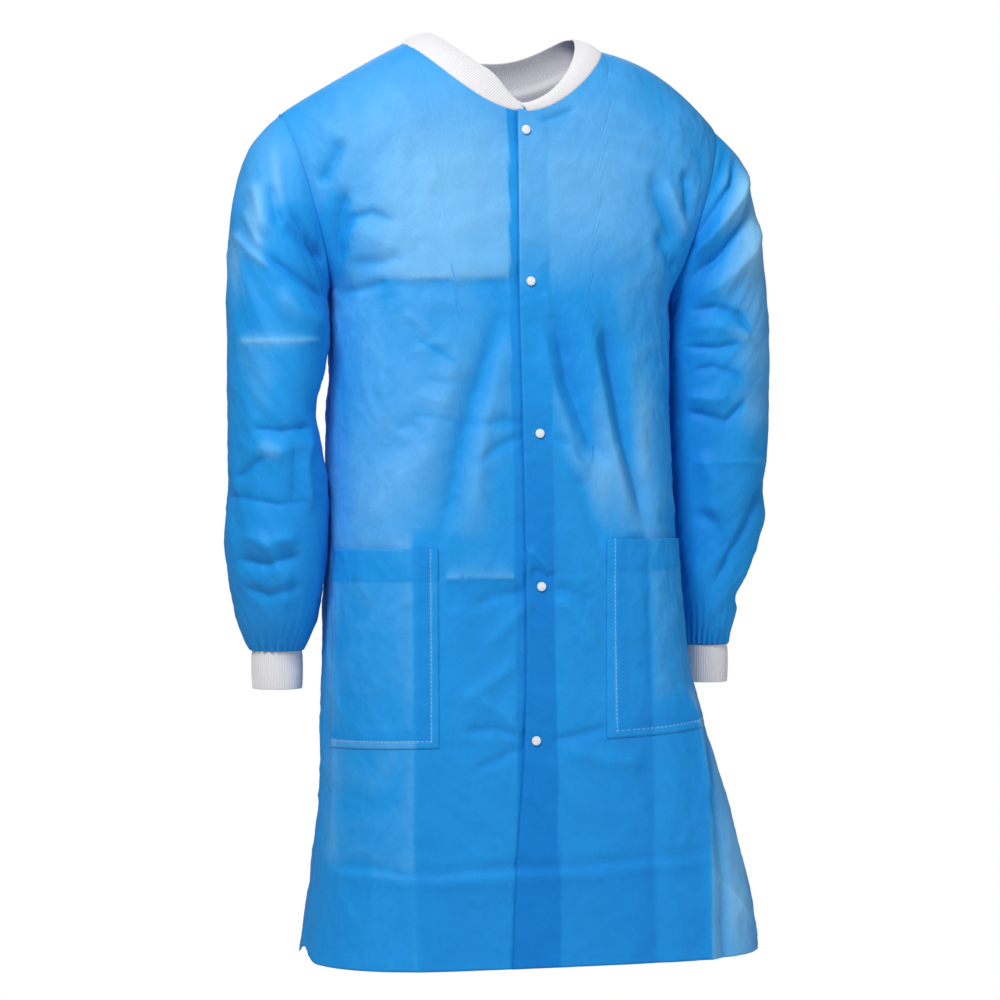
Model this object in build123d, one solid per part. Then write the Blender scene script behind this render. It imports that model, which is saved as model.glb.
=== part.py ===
"""Disposable lab coat with knitted collar and cuffs, two patch pockets and five press snaps.

Frame: millimetres, +X to the wearer's left, -Y to the front, +Z up. The origin is midway between
the two neck points, where the shoulder seams meet the collar and the wearer's shoulders carry it.
The coat is modelled as it is worn, buttoned and with the sleeves hanging. Cloth is drawn as a thin
shell; the left front laps over the right front.
"""
import os
from math import cos, pi, radians, sin, sqrt

from build123d import *

# ---- cloth and layers
CLOTH = 1.2            # shell thickness that stands for the cloth
FACING = 0.6           # shell thickness of the folded-in facing behind each front edge
SEAM_GAP = 0.9         # half the gap left between two shells at a seam
SEAM_STEP = 1.6        # the collar's seam edge stands this far off the neckline
LAYER_GAP = 0.3        # gap between a facing and its front
SPLIT_GAP = 3.0        # gap between an opening front and the part of it that stays on the body
SURFACE_TOL = 0.3      # tolerance of the spline surfaces

# ---- lengths, all heights measured down from the neck points
HEM_Z = -1060.0
NECK_X = 118.0         # half the width between the neck points
V_BOTTOM_Z = -82.0     # lowest point of the neckline
BACK_NECK_DROP = 40.0
NECKLINE_CURVE = 1.8   # 1 would be a straight V; more bows it downwards
SHOULDER_RISE = 22.0   # height of the shoulder parabola above the neck points at the centre
SHOULDER_ROLL = 100.0  # height over which the cloth rolls over the shoulder
TIP_X, TIP_Z = 264.0, -87.0
ARMPIT_X, ARMPIT_Z = 205.0, -292.0

# ---- front closure
FRONT_DEPTH_TOP = 84.0     # front of the chest ahead of the neck points, at the top snap
FRONT_LEAN = 0.0573        # the closure leans forward by this much per millimetre down
SNAP_TOP_Z = -106.0
SNAP_PITCH = 174.5
SNAP_COUNT = 5
EDGE_BEYOND_SNAP = 14.0    # left front's edge beyond the snap line
LAP_BEYOND_SNAP = 16.0     # right front's edge beyond the snap line, under the left front
FACING_WIDTH = 46.0
LAP_DEPTH = 6.5            # right front's outer face behind the left front's outer face
LAP_FADE = 90.0            # width over which the right front comes back level

# ---- opening of the fronts: the line where each front bends, at the top snap and at the hem
SPLIT_TOP_X, SPLIT_HEM_X = 62.0, 90.0

# ---- snaps, measured along the snap's axis from the outer face of the left front
CAP_R, CAP_DISC, CAP_DOME = 5.1, 0.9, 0.9
POST_R, POST_HOLE_R, CLOTH_HOLE_R = 1.2, 1.35, 1.6
SOCKET_R, SOCKET_RECESS_R = 4.7, 3.0
SOCKET_FROM, SOCKET_RECESS_FROM, SOCKET_TO = -2.5, -3.2, -4.8
STUD_R, NUB_R = 4.6, 1.9
NUB_FROM, STUD_FROM, STUD_TO = -3.6, -5.2, -6.1
BACK_CAP_FROM = -9.0
POST_END_CLEARANCE = 0.15
CAP_STANDOFF = 0.3

# ---- pockets
POCKET_TOP_Z, POCKET_BOTTOM_Z = -588.0, -805.0
POCKET_INNER_X = 98.0
POCKET_OUTER_SHARE = 0.93   # outer edge, as a share of the half-width there
POCKET_DEPTH = 13.0         # how far the pocket stands open at its middle

# ---- collar, sleeves and cuffs
COLLAR_WIDTH, COLLAR_TIP_WIDTH = 35.0, 9.0
CUFF_R_OUT, CUFF_R_IN = 30.0, 28.5
CUFF_X, CUFF_Y, CUFF_TOP_Z, CUFF_BOTTOM_Z = 262.0, 20.0, -704.0, -749.0

# ---- tables of (height, value), from the top down
HALF_WIDTH = [(30, 290), (-111, 290), (-150, 280), (-200, 262), (-250, 232), (-292, 205), (-330, 204),
              (-456, 205), (-640, 212), (-740, 217), (-800, 224), (-900, 239), (-1000, 258), (-1060, 268)]
SIDE_SHIFT = [(30, 0), (-292, 0), (-456, 0), (-640, 4), (-740, 8), (-800, 13), (-900, 26), (-1060, 42)]
BACK_DEPTH = [(30, 84), (0, 86), (-106, 104), (-279, 116), (-456, 106), (-630, 120), (-804, 138),
              (-1060, 165)]
SNAP_LINE = [(30, 8), (-106, 8), (-279, 11), (-456, 19), (-630, 18), (-804, 9), (-1060, 1)]

# sleeve rings: inner edge (x, z), outer edge (x, z), half-depth, middle y
SLEEVE_RINGS = [
    ((209.5, -293.2), (266.9, -87.8), 60, 4),
    ((212, -302), (295, -124), 65, 4),
    ((214, -318), (316, -186), 68, 3),
    ((216, -346), (329, -262), 70, 2),
    ((218, -392), (334, -348), 69, 1),
    ((220, -450), (333, -432), 66, 2),
    ((219, -520), (332, -514), 66, 5),
    ((219, -590), (327, -590), 66, 10),
    ((223, -640), (314, -640), 58, 14),
    ((229, -680), (301, -680), 42, 18),
    ((232.5, -703), (291.5, -703), 29.5, 20),
]


def along(table, z):
    """Value at height z on a smooth curve through the table's points."""
    if z >= table[0][0]:
        return table[0][1]
    if z <= table[-1][0]:
        return table[-1][1]
    i = next(k for k in range(len(table) - 1) if z >= table[k + 1][0])
    (z0, p0), (z1, p1) = table[i], table[i + 1]
    before, after = table[max(i - 1, 0)], table[min(i + 2, len(table) - 1)]
    m0 = (p1 - before[1]) / (z1 - before[0])
    m1 = (after[1] - p0) / (after[0] - z0)
    t, h = (z - z0) / (z1 - z0), z1 - z0
    return (p0 * (1 + 2 * t) * (1 - t) ** 2 + m0 * h * t * (1 - t) ** 2
            + p1 * t * t * (3 - 2 * t) + m1 * h * t * t * (t - 1))


def smooth(t):
    """Smooth step from 0 to 1."""
    t = min(1.0, max(0.0, t))
    return t * t * (3 - 2 * t)


def shoulder_z(x):
    """Height of the shoulder line at x, a parabola through both neck points and both tips."""
    return SHOULDER_RISE * (1 - (x / NECK_X) ** 2)


def front_depth(z):
    """Distance of the closure ahead of the neck points at height z."""
    return FRONT_DEPTH_TOP + FRONT_LEAN * (SNAP_TOP_Z - z)


def section(x, z):
    """Share of the full depth that the body's section has at x: an ellipse, squarer towards the hem."""
    off_middle = min(1.0, abs(x - along(SIDE_SHIFT, z)) / along(HALF_WIDTH, z)) ** 2
    squareness = 0.3 + 0.2 * smooth(-z / 900)
    return sqrt(1 - off_middle) * (1 + squareness * off_middle)


def roll(x, z):
    """Share of the depth left where the cloth rolls over the shoulder."""
    rise = min(1.0, max(0.0, (z - shoulder_z(x) + SHOULDER_ROLL) / SHOULDER_ROLL))
    return sqrt(1 - rise * rise)


def front_y(x, z, out=0.0):
    """Y of the front's outer face, moved outwards by out."""
    return -SEAM_GAP - (front_depth(z) + out) * section(x, z) * roll(x, z)


def back_y(x, z):
    """Y of the back's outer face."""
    return SEAM_GAP + along(BACK_DEPTH, z) * section(x, z) * roll(x, z)


def lap_offset(x, z, side):
    """How far a front's outer face lies behind the body's surface: the right front passes under the left."""
    if side > 0:
        return 0.0
    inward = along(SNAP_LINE, z) - x
    return LAP_DEPTH * (1 - smooth((inward - 20) / LAP_FADE))


def heights(x_top, rows):
    """Heights of a column of points, from the hem to the shoulder line, closer over the roll."""
    start = shoulder_z(x_top) - SHOULDER_ROLL
    straight = rows - 8
    zs = [HEM_Z + (start - HEM_Z) * i / straight for i in range(straight)]
    return zs + [start + SHOULDER_ROLL * sin(radians(90 * i / 7)) for i in range(8)]


def shell(points, thickness, inside):
    """Closed shell: a spline surface through the grid of points, thickened towards the point inside."""
    face = Face.make_surface_from_array_of_points(points, tol=SURFACE_TOL, min_deg=3, max_deg=3)
    middle = face.position_at(0.5, 0.5)
    inward = (Vector(*inside) - middle).dot(face.normal_at(middle)) > 0
    return Solid.thicken(face, thickness if inward else -thickness)


def prism(outline, y_from, y_to):
    """Solid with an outline in X and Z, from y_from to y_to."""
    wire = Wire.make_polygon([Vector(x, y_to, z) for x, z in outline], close=True)
    return Solid.extrude(Face(wire), Vector(0, y_from - y_to, 0))


def edge_x(z, side):
    """X of a front's free edge: left front (side 1) laps past the snap line, right front (-1) under it."""
    return along(SNAP_LINE, z) - (EDGE_BEYOND_SNAP if side > 0 else -LAP_BEYOND_SNAP)


def split_x(z):
    """Distance from the middle of the line where a front bends when it opens."""
    return SPLIT_TOP_X + (SPLIT_HEM_X - SPLIT_TOP_X) * min(1.0, (SNAP_TOP_Z - z) / (SNAP_TOP_Z - HEM_Z))


def neck_z(x, side):
    """Height of the front neckline at x, from the V's bottom at the snap line to a neck point."""
    start = along(SNAP_LINE, V_BOTTOM_Z)
    reach = max(0.0, side * (x - start)) / (NECK_X - side * start)
    return V_BOTTOM_Z * (1 - min(1.0, reach) ** NECKLINE_CURVE)


def back_neck_z(x):
    """Height of the back neckline at x."""
    return -BACK_NECK_DROP * (1 - min(1.0, abs(x) / NECK_X) ** 2.2)


def armhole_cut(side):
    """Space beyond the armhole plane, above the armpit."""
    outline = [(ARMPIT_X, ARMPIT_Z), (TIP_X, TIP_Z), (TIP_X + 30, 20), (420, 20), (420, ARMPIT_Z)]
    return prism([(side * x, z) for x, z in outline], -250, 250)


def front_neck_cut(side):
    """Space above one half of the front neckline."""
    steps = 12
    start = along(SNAP_LINE, V_BOTTOM_Z)
    xs = [start + (side * NECK_X - start) * i / steps for i in range(steps + 1)]
    line = [(x, neck_z(x, side)) for x in xs]
    over = start - side * 60
    return prism([(over, V_BOTTOM_Z), *line, (side * NECK_X, 120), (over, 120)], -200, 30)


def back_neck_cut():
    """Space above the back neckline."""
    steps = 16
    line = [(NECK_X * (2 * i / steps - 1), back_neck_z(NECK_X * (2 * i / steps - 1))) for i in range(steps + 1)]
    return prism([*line, (NECK_X, 120), (-NECK_X, 120)], -30, 200)


def front_grid(side, depth_in=0.0, rows=44, columns=22):
    """Grid of points depth_in behind a front's outer face, from its free edge to the side seam."""
    grid = []
    start, end = edge_x(0, side), side * along(HALF_WIDTH, 0)
    for j in range(columns):
        bend = sin(j / (columns - 1) * pi / 2)
        column = []
        for z in heights(start + (end - start) * bend, rows):
            side_x = along(SIDE_SHIFT, z) + side * along(HALF_WIDTH, z)
            x = edge_x(z, side) + (side_x - edge_x(z, side)) * bend
            column.append((x, front_y(x, z, -depth_in - lap_offset(x, z, side)), z))
        grid.append(column)
    return grid


def facing_region(side):
    """Space around the strip of a front that its facing covers."""
    steps, top = 12, V_BOTTOM_Z - 1
    zs = [HEM_Z - 20 + (top - HEM_Z + 20) * i / steps for i in range(steps + 1)]
    outline = [(edge_x(z, side) + side * FACING_WIDTH, z) for z in zs]
    return prism([*outline, (-side * 150, top), (-side * 150, zs[0])], -300, 30)


def flap_region(side):
    """Space around the part of a front that swings open."""
    zs = [40, SNAP_TOP_Z + 1, SNAP_TOP_Z, HEM_Z - 20]
    outline = [(side * (split_x(z) - SPLIT_GAP / 2), z) for z in zs]
    return prism([*outline, (-side * 150, HEM_Z - 20), (-side * 150, 40)], -300, 300)


def body_region(side):
    """Space around the part of a front that stays on the body."""
    zs = [60, SNAP_TOP_Z + 1, SNAP_TOP_Z, HEM_Z - 20]
    outline = [(side * (split_x(z) + SPLIT_GAP / 2), z) for z in zs]
    return prism([*outline, (side * 450, HEM_Z - 20), (side * 450, 60)], -300, 300)


def snap_plane(i):
    """Plane at snap i on the left front's outer face, its Z pointing out of the coat."""
    z = SNAP_TOP_Z - i * SNAP_PITCH
    x = along(SNAP_LINE, z)
    return Plane(origin=(x, front_y(x, z), z), x_dir=(1, 0, 0), z_dir=(0, -1, FRONT_LEAN))


def disc(radius, low, high):
    """Cylinder about the snap's axis between two depths."""
    return Pos(0, 0, low) * Cylinder(radius, high - low, align=(Align.CENTER, Align.CENTER, Align.MIN))


def snap_holes():
    """Rods that open the holes for the snap posts through every layer."""
    return [snap_plane(i) * disc(CLOTH_HOLE_R, BACK_CAP_FROM - 4, 4) for i in range(SNAP_COUNT)]


def domed_cap(post_length):
    """Snap cap on its own axis: a domed disc with a post that runs down from it."""
    low, top = CAP_STANDOFF, CAP_STANDOFF + CAP_DISC + CAP_DOME
    dome_r = (CAP_R ** 2 + CAP_DOME ** 2) / (2 * CAP_DOME)
    head = disc(CAP_R, low, top) & Pos(0, 0, top - dome_r) * Sphere(dome_r)
    return head + disc(POST_R, low - post_length, low + CAP_DISC / 2)


def snap_cap(i):
    """Cap on the outside of the left front."""
    return snap_plane(i) * domed_cap(-(SOCKET_RECESS_FROM + POST_END_CLEARANCE))


def snap_socket(i):
    """Socket behind the left front: bored for the cap's post, with a recess that takes the stud."""
    body = disc(SOCKET_R, SOCKET_TO, SOCKET_FROM)
    body -= disc(POST_HOLE_R, SOCKET_RECESS_FROM - 0.1, SOCKET_FROM + 1)
    body -= disc(SOCKET_RECESS_R, SOCKET_TO - 1, SOCKET_RECESS_FROM)
    return snap_plane(i) * body


def snap_stud(i):
    """Stud in front of the right front: a disc with a nub that sits in the socket."""
    body = disc(STUD_R, STUD_TO, STUD_FROM) + disc(NUB_R, STUD_FROM - 0.1, NUB_FROM)
    body -= disc(POST_HOLE_R, STUD_TO - 1, STUD_FROM + 0.6)
    return snap_plane(i) * body


def snap_back_cap(i):
    """Cap behind the right front, whose post holds the stud."""
    post = -(BACK_CAP_FROM - STUD_FROM) - 0.1
    return snap_plane(i) * (Pos(0, 0, BACK_CAP_FROM) * (Rot(180, 0, 0) * domed_cap(post)))


def collar_grid(points):
    """Grid from the collar's seam to its top edge; points are (seam point, direction, width)."""
    return [[tuple(p[k] + d[k] * (SEAM_STEP + (w - SEAM_STEP) * r) for k in range(3))
             for r in (0.0, 0.33, 0.67, 1.0)] for p, d, w in points]


def collar_front_point(x, side):
    """Seam point, direction and width of the collar on the front neckline."""
    z = neck_z(x, side)
    start = along(SNAP_LINE, V_BOTTOM_Z)
    reach = max(0.0, side * (x - start)) / (NECK_X - side * start)
    y = front_y(x, z, -lap_offset(x, z, side))
    lean = smooth(reach)
    d = Vector(-side * (0.62 + 0.26 * lean), 0.22 + 0.08 * lean, 0.75 - 0.38 * lean).normalized()
    width = COLLAR_TIP_WIDTH + (COLLAR_WIDTH - COLLAR_TIP_WIDTH) * smooth(reach / 0.55)
    return (x, y, z), tuple(d), width


def collar_back_point(angle):
    """Seam point, direction and width of the collar round the back, angle 90 at the centre back."""
    x = NECK_X * cos(radians(angle))
    z = back_neck_z(x)
    y = back_y(x, z)
    lean = sin(radians(angle))
    d = Vector(-0.88 * cos(radians(angle)), -0.42 * lean + 0.28 * (1 - lean), 0.40 + 0.5 * lean)
    return (x, y, z), tuple(d.normalized()), COLLAR_WIDTH


def collar_tip(side):
    """Part of the collar that swings with a front."""
    start = along(SNAP_LINE, V_BOTTOM_Z) + side * 1.0
    end = side * (SPLIT_TOP_X - SPLIT_GAP / 2)
    xs = [start + (end - start) * i / 6 for i in range(7)]
    return shell(collar_grid([collar_front_point(x, side) for x in xs]), CLOTH, (0, 0, -40))


def collar_back():
    """Part of the collar that stays on the body, from bend to bend round the back."""
    steps = 5
    start = SPLIT_TOP_X + SPLIT_GAP / 2
    xs = [start + (NECK_X - 4 - start) * i / steps for i in range(steps + 1)]
    left = [collar_front_point(x, 1) for x in xs]
    right = [collar_front_point(-x, -1) for x in reversed(xs)]
    rear = [collar_back_point(a) for a in range(8, 180, 14)]
    return shell(collar_grid(left + rear + right), CLOTH, (0, 0, -30))


def pocket(side):
    """Patch pocket: a shell that stands off the front at its middle and meets it at its edges."""
    rows, columns, grid = 12, 14, []
    for j in range(columns):
        u = j / (columns - 1)
        column = []
        for i in range(rows):
            v = i / (rows - 1)
            z = POCKET_BOTTOM_Z + (POCKET_TOP_Z - POCKET_BOTTOM_Z) * v
            outer = along(SIDE_SHIFT, z) + side * along(HALF_WIDTH, z) * POCKET_OUTER_SHARE
            x = side * POCKET_INNER_X + (outer - side * POCKET_INNER_X) * u
            swell = min(1.0, 1.6 * sin(pi * u) ** 0.7) * min(1.0, 1.5 * sin(pi / 2 * v) ** 0.6)
            base = front_y(x, z, -lap_offset(x, z, side))
            out = CLOTH + 0.7 + POCKET_DEPTH * swell
            slope = (front_y(x + 1, z) - front_y(x - 1, z)) / 2
            length = sqrt(1 + slope * slope)
            column.append((x + out * slope / length, base - out / length, z))
        grid.append(column)
    return shell(grid, CLOTH, (side * 100, 0, -700))


def sleeve(side):
    """Sleeve from the armhole to the cuff, with its seam along the underarm."""
    seam, columns = 0.6, 25
    grid = []
    for (xi, zi), (xo, zo), depth, y in SLEEVE_RINGS:
        cx, cz = (xi + xo) / 2, (zi + zo) / 2
        hx, hz = (xo - xi) / 2, (zo - zi) / 2
        spread = pi - seam / max(depth, 1)
        row = []
        for j in range(columns):
            a = -spread + 2 * spread * j / (columns - 1)
            row.append((side * (cx + hx * cos(a)), y + depth * sin(a), cz + hz * cos(a)))
        grid.append(row)
    face = Face.make_surface_from_array_of_points(grid, tol=SURFACE_TOL, min_deg=3, max_deg=3)
    middle = face.position_at(0.5, 0.5)
    inward = (Vector(side * 275, 3, -450) - middle).dot(face.normal_at(middle)) > 0
    return Solid.thicken(face, CLOTH if inward else -CLOTH)


def cuff(side):
    """Knitted tube at the wrist."""
    length = CUFF_TOP_Z - CUFF_BOTTOM_Z
    tube = Cylinder(CUFF_R_OUT, length) - Cylinder(CUFF_R_IN, length + 2)
    return Pos(side * CUFF_X, CUFF_Y, (CUFF_TOP_Z + CUFF_BOTTOM_Z) / 2) * tube


def fronts():
    """Both fronts, each cut into the part that opens and the part that stays on the body."""
    made, holes = {}, snap_holes()
    for side, name in ((1, "left"), (-1, "right")):
        whole = shell(front_grid(side), CLOTH, (0, 0, -600))
        whole = whole - armhole_cut(side) - front_neck_cut(side)
        opening = whole & flap_region(side)
        for hole in holes:
            opening -= hole
        made[f"{name}_front"] = opening
        made[f"{name}_front_side"] = whole & body_region(side)
        facing = shell(front_grid(side, CLOTH + LAYER_GAP), FACING, (0, 0, -600)) & facing_region(side)
        for hole in holes:
            facing -= hole
        made[f"{name}_front_facing"] = facing
    return made


def back_panel():
    """Back in one piece, from side seam to side seam."""
    rows, columns, grid = 44, 33, []
    for j in range(columns):
        u = 2 * j / (columns - 1) - 1
        bend = sin(u * pi / 2)
        column = []
        for z in heights(along(HALF_WIDTH, 0) * bend, rows):
            x = along(SIDE_SHIFT, z) + along(HALF_WIDTH, z) * bend
            column.append((x, back_y(x, z), z))
        grid.append(column)
    whole = shell(grid, CLOTH, (0, 0, -600))
    return whole - armhole_cut(1) - armhole_cut(-1) - back_neck_cut()


def main():
    """Builds every node and writes its STEP file."""
    nodes = {"back_panel": back_panel(), "collar_back": collar_back()}
    nodes.update(fronts())
    for side, name in ((1, "left"), (-1, "right")):
        nodes[f"{name}_collar_tip"] = collar_tip(side)
        nodes[f"{name}_pocket"] = pocket(side)
        nodes[f"{name}_sleeve"] = sleeve(side)
        nodes[f"{name}_cuff"] = cuff(side)
    for i in range(SNAP_COUNT):
        nodes[f"snap_cap_{i + 1}"] = snap_cap(i)
        nodes[f"snap_socket_{i + 1}"] = snap_socket(i)
        nodes[f"snap_stud_{i + 1}"] = snap_stud(i)
        nodes[f"snap_back_cap_{i + 1}"] = snap_back_cap(i)
    os.makedirs("parts", exist_ok=True)
    for name, shape in nodes.items():
        export_step(shape, f"parts/{name}.step")


main()
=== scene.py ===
import logging
import math
from dataclasses import dataclass, field, replace
from enum import Enum
from functools import cached_property

import bpy
import numpy as np
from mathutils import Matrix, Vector


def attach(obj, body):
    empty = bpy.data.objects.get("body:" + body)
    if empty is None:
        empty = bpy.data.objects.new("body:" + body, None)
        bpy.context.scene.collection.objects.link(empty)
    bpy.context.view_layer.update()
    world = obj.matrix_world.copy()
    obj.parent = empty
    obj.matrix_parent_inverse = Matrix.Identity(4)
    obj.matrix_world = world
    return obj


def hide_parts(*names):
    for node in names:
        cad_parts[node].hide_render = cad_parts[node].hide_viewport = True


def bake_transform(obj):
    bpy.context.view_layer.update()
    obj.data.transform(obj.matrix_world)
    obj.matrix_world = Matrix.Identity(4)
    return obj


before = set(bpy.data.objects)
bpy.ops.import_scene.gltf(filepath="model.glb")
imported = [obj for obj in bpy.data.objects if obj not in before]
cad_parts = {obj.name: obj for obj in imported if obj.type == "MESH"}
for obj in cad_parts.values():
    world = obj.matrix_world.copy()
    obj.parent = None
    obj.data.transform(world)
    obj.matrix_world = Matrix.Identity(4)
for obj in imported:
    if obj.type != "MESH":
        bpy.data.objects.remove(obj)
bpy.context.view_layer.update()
LOG = logging.getLogger("lab_coat")
MM = 0.001


# ------------------------------------------------------------------ small tools


class Side(Enum):
    """The wearer's left or right side; the value is the sign of X there."""

    LEFT = 1
    RIGHT = -1

    @property
    def word(self) -> str:
        """The word used in piece and body names."""
        return self.name.lower()

    @property
    def flap(self) -> str:
        """The body that this side's facing is attached to."""
        return f"{self.word}_front_flap"

    @property
    def arm(self) -> str:
        """The body that this side's cuff is attached to."""
        return f"{self.word}_arm"


class FoldKind(Enum):
    """How a fold's height falls off with distance from its line."""

    SOFT = "a rounded ridge or valley"
    SHARP = "a creased ridge or valley with a cusp on the line"
    STEP = "raised on the right of the line's direction and lowered on its left"
    EDGE = "a jump on the line, positive on the right of its direction, that fades away from it"


def smooth_step(t: np.ndarray) -> np.ndarray:
    """Rises smoothly from 0 to 1 as t goes from 0 to 1."""
    t = np.clip(t, 0.0, 1.0)
    return t * t * (3.0 - 2.0 * t)


def cubic_through(knots: np.ndarray, values: np.ndarray, at: np.ndarray) -> np.ndarray:
    """Smooth curve through values at rising knots: a cubic Hermite with slopes from the neighbours.

    Args:
        knots: Positions of the known values, rising.
        values: Known values, one row per knot; a row may be an array.
        at: Positions to evaluate.

    Returns:
        One interpolated row per position.
    """
    extra = (1,) * (values.ndim - 1)
    slopes = np.gradient(values, knots, axis=0)
    i = np.clip(np.searchsorted(knots, at) - 1, 0, len(knots) - 2)
    step = (knots[i + 1] - knots[i]).reshape(at.shape + extra)
    t = np.clip((at - knots[i]).reshape(at.shape + extra) / step, 0.0, 1.0)
    return (values[i] * (1 + 2 * t) * (1 - t) ** 2 + slopes[i] * step * t * (1 - t) ** 2
            + values[i + 1] * t * t * (3 - 2 * t) + slopes[i + 1] * step * t * t * (t - 1))


def ripple(u: np.ndarray, v: np.ndarray, cell: float, seed: int) -> np.ndarray:
    """Gradient noise: random slopes on a square lattice of the given cell, joined by a quintic fade.

    Args:
        u: First coordinate in metres.
        v: Second coordinate in metres.
        cell: Lattice spacing in metres.
        seed: Seed of the lattice's slopes.

    Returns:
        Values from about -0.7 to 0.7.
    """
    turn = np.random.default_rng(seed).uniform(0.0, 2 * np.pi, (97, 89))
    a, b = u / cell + 31.0, v / cell + 57.0
    ia, ib = np.floor(a).astype(int), np.floor(b).astype(int)
    fa, fb = a - ia, b - ib
    wa, wb = (t ** 3 * (t * (t * 6 - 15) + 10) for t in (fa, fb))

    def corner(da: int, db: int) -> np.ndarray:
        """Slope at one lattice corner times the offset from it."""
        angle = turn[(ia + da) % 97, (ib + db) % 89]
        return np.cos(angle) * (fa - da) + np.sin(angle) * (fb - db)

    low = corner(0, 0) * (1 - wa) + corner(1, 0) * wa
    high = corner(0, 1) * (1 - wa) + corner(1, 1) * wa
    return low * (1 - wb) + high * wb


def crumple(u: np.ndarray, v: np.ndarray, size: float, seed: int) -> np.ndarray:
    """Paper-like crumple: folded noise at three scales, its coordinates bent by slower noise, so that
    straight-sided facets meet in creases.

    Args:
        u: First coordinate in metres.
        v: Second coordinate in metres.
        size: Size of the largest facets in metres.
        seed: Seed of the noise.

    Returns:
        Heights around 0, from about -1 to 1.
    """
    bent_u = u + size * 0.5 * ripple(u, v, size * 1.7, seed + 1)
    bent_v = v + size * 0.5 * ripple(u, v, size * 1.7, seed + 2)
    height = np.zeros_like(u)
    for octave, share in enumerate((1.0, 0.45, 0.2)):
        cell = size / 2.1 ** octave
        height += share * (0.22 - np.abs(ripple(bent_u, bent_v, cell, seed + 5 + octave))) * 2.0
    return height


def grid_normals(points: np.ndarray) -> np.ndarray:
    """Unit normals of a grid surface: the cross product of its two grid directions."""
    normal = np.cross(np.gradient(points, axis=0), np.gradient(points, axis=1))
    return normal / np.maximum(np.linalg.norm(normal, axis=-1, keepdims=True), 1e-12)


def run_lengths(points: np.ndarray, axis: int) -> np.ndarray:
    """Length along the grid lines of one axis, from 0 at the first point."""
    steps = np.linalg.norm(np.diff(points, axis=axis), axis=-1)
    zero = np.zeros_like(np.take(steps, [0], axis=axis))
    return np.concatenate([zero, np.cumsum(steps, axis=axis)], axis=axis)


@dataclass(frozen=True)
class Profile:
    """A smooth value against height, given at a few stations in millimetres, from the top down."""

    stations: tuple[tuple[float, float], ...]

    def at(self, z: np.ndarray) -> np.ndarray:
        """Value in metres at heights in metres."""
        table = np.array(self.stations, float)[::-1] * MM
        z = np.clip(np.asarray(z, float), table[0, 0], table[-1, 0])
        return cubic_through(table[:, 0], table[:, 1], z)


# ------------------------------------------------------------------ meshes


@dataclass(frozen=True)
class SheetMesh:
    """A grid of points that becomes one mesh piece, with lengths along the cloth as its UV map."""

    name: str
    points: np.ndarray
    wrap_rows: bool = False
    wrap_columns: bool = False
    layers_and_shade: np.ndarray | None = None

    def faces(self) -> np.ndarray:
        """Four point numbers for each cell of the grid, closed round the wrapped directions."""
        n, m = self.points.shape[:2]
        number = np.arange(n * m).reshape(n, m)
        if self.wrap_rows:
            number = np.concatenate([number, number[:1]], axis=0)
        if self.wrap_columns:
            number = np.concatenate([number, number[:, :1]], axis=1)
        corners = (number[:-1, :-1], number[1:, :-1], number[1:, 1:], number[:-1, 1:])
        return np.stack([c.ravel() for c in corners], axis=1)

    def build(self, outward: np.ndarray | None = None) -> bpy.types.Object:
        """Makes the object, its faces turned outwards.

        Args:
            outward: Direction that the faces look along on average, for each point; without it they
                look away from the piece's own centre.

        Returns:
            The new object, at the origin.
        """
        flat = self.points.reshape(-1, 3)
        faces = self.faces()
        corner = flat[faces]
        normal = np.cross(corner[:, 2] - corner[:, 0], corner[:, 3] - corner[:, 1])
        away = corner.mean(axis=1) - flat.mean(axis=0)
        if outward is not None:
            away = outward.reshape(-1, 3)[faces[:, 0]]
        if np.sum(normal * away) < 0:
            faces = faces[:, ::-1]
        mesh = bpy.data.meshes.new(self.name)
        mesh.vertices.add(len(flat))
        mesh.vertices.foreach_set("co", flat.astype(np.float32).ravel())
        mesh.loops.add(faces.size)
        mesh.loops.foreach_set("vertex_index", faces.astype(np.int32).ravel())
        mesh.polygons.add(len(faces))
        mesh.polygons.foreach_set("loop_start", np.arange(0, faces.size, 4, dtype=np.int32))
        mesh.polygons.foreach_set("use_smooth", np.ones(len(faces), bool))
        lengths = np.stack([run_lengths(self.points, 0), run_lengths(self.points, 1)], axis=-1).reshape(-1, 2)
        uv = mesh.uv_layers.new(name="cloth")
        uv.data.foreach_set("uv", lengths[faces.ravel()].astype(np.float32).ravel())
        # The per-point attribute carries cloth layers together with painted light and shade.
        if self.layers_and_shade is not None:
            attribute = mesh.attributes.new("layers_and_shade", "FLOAT", "POINT")
            attribute.data.foreach_set("value", self.layers_and_shade.astype(np.float32).ravel())
        mesh.update(calc_edges=True)
        mesh.validate()
        piece = bpy.data.objects.new(self.name, mesh)
        bpy.context.scene.collection.objects.link(piece)
        return piece


def thicken(piece: bpy.types.Object, thickness: float, offset: float = -1.0) -> None:
    """Gives a sheet its thickness, inwards from its faces."""
    wall = piece.modifiers.new("cloth_thickness", "SOLIDIFY")
    wall.thickness = thickness
    wall.offset = offset
    wall.use_rim = True


# ------------------------------------------------------------------ finishes


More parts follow.
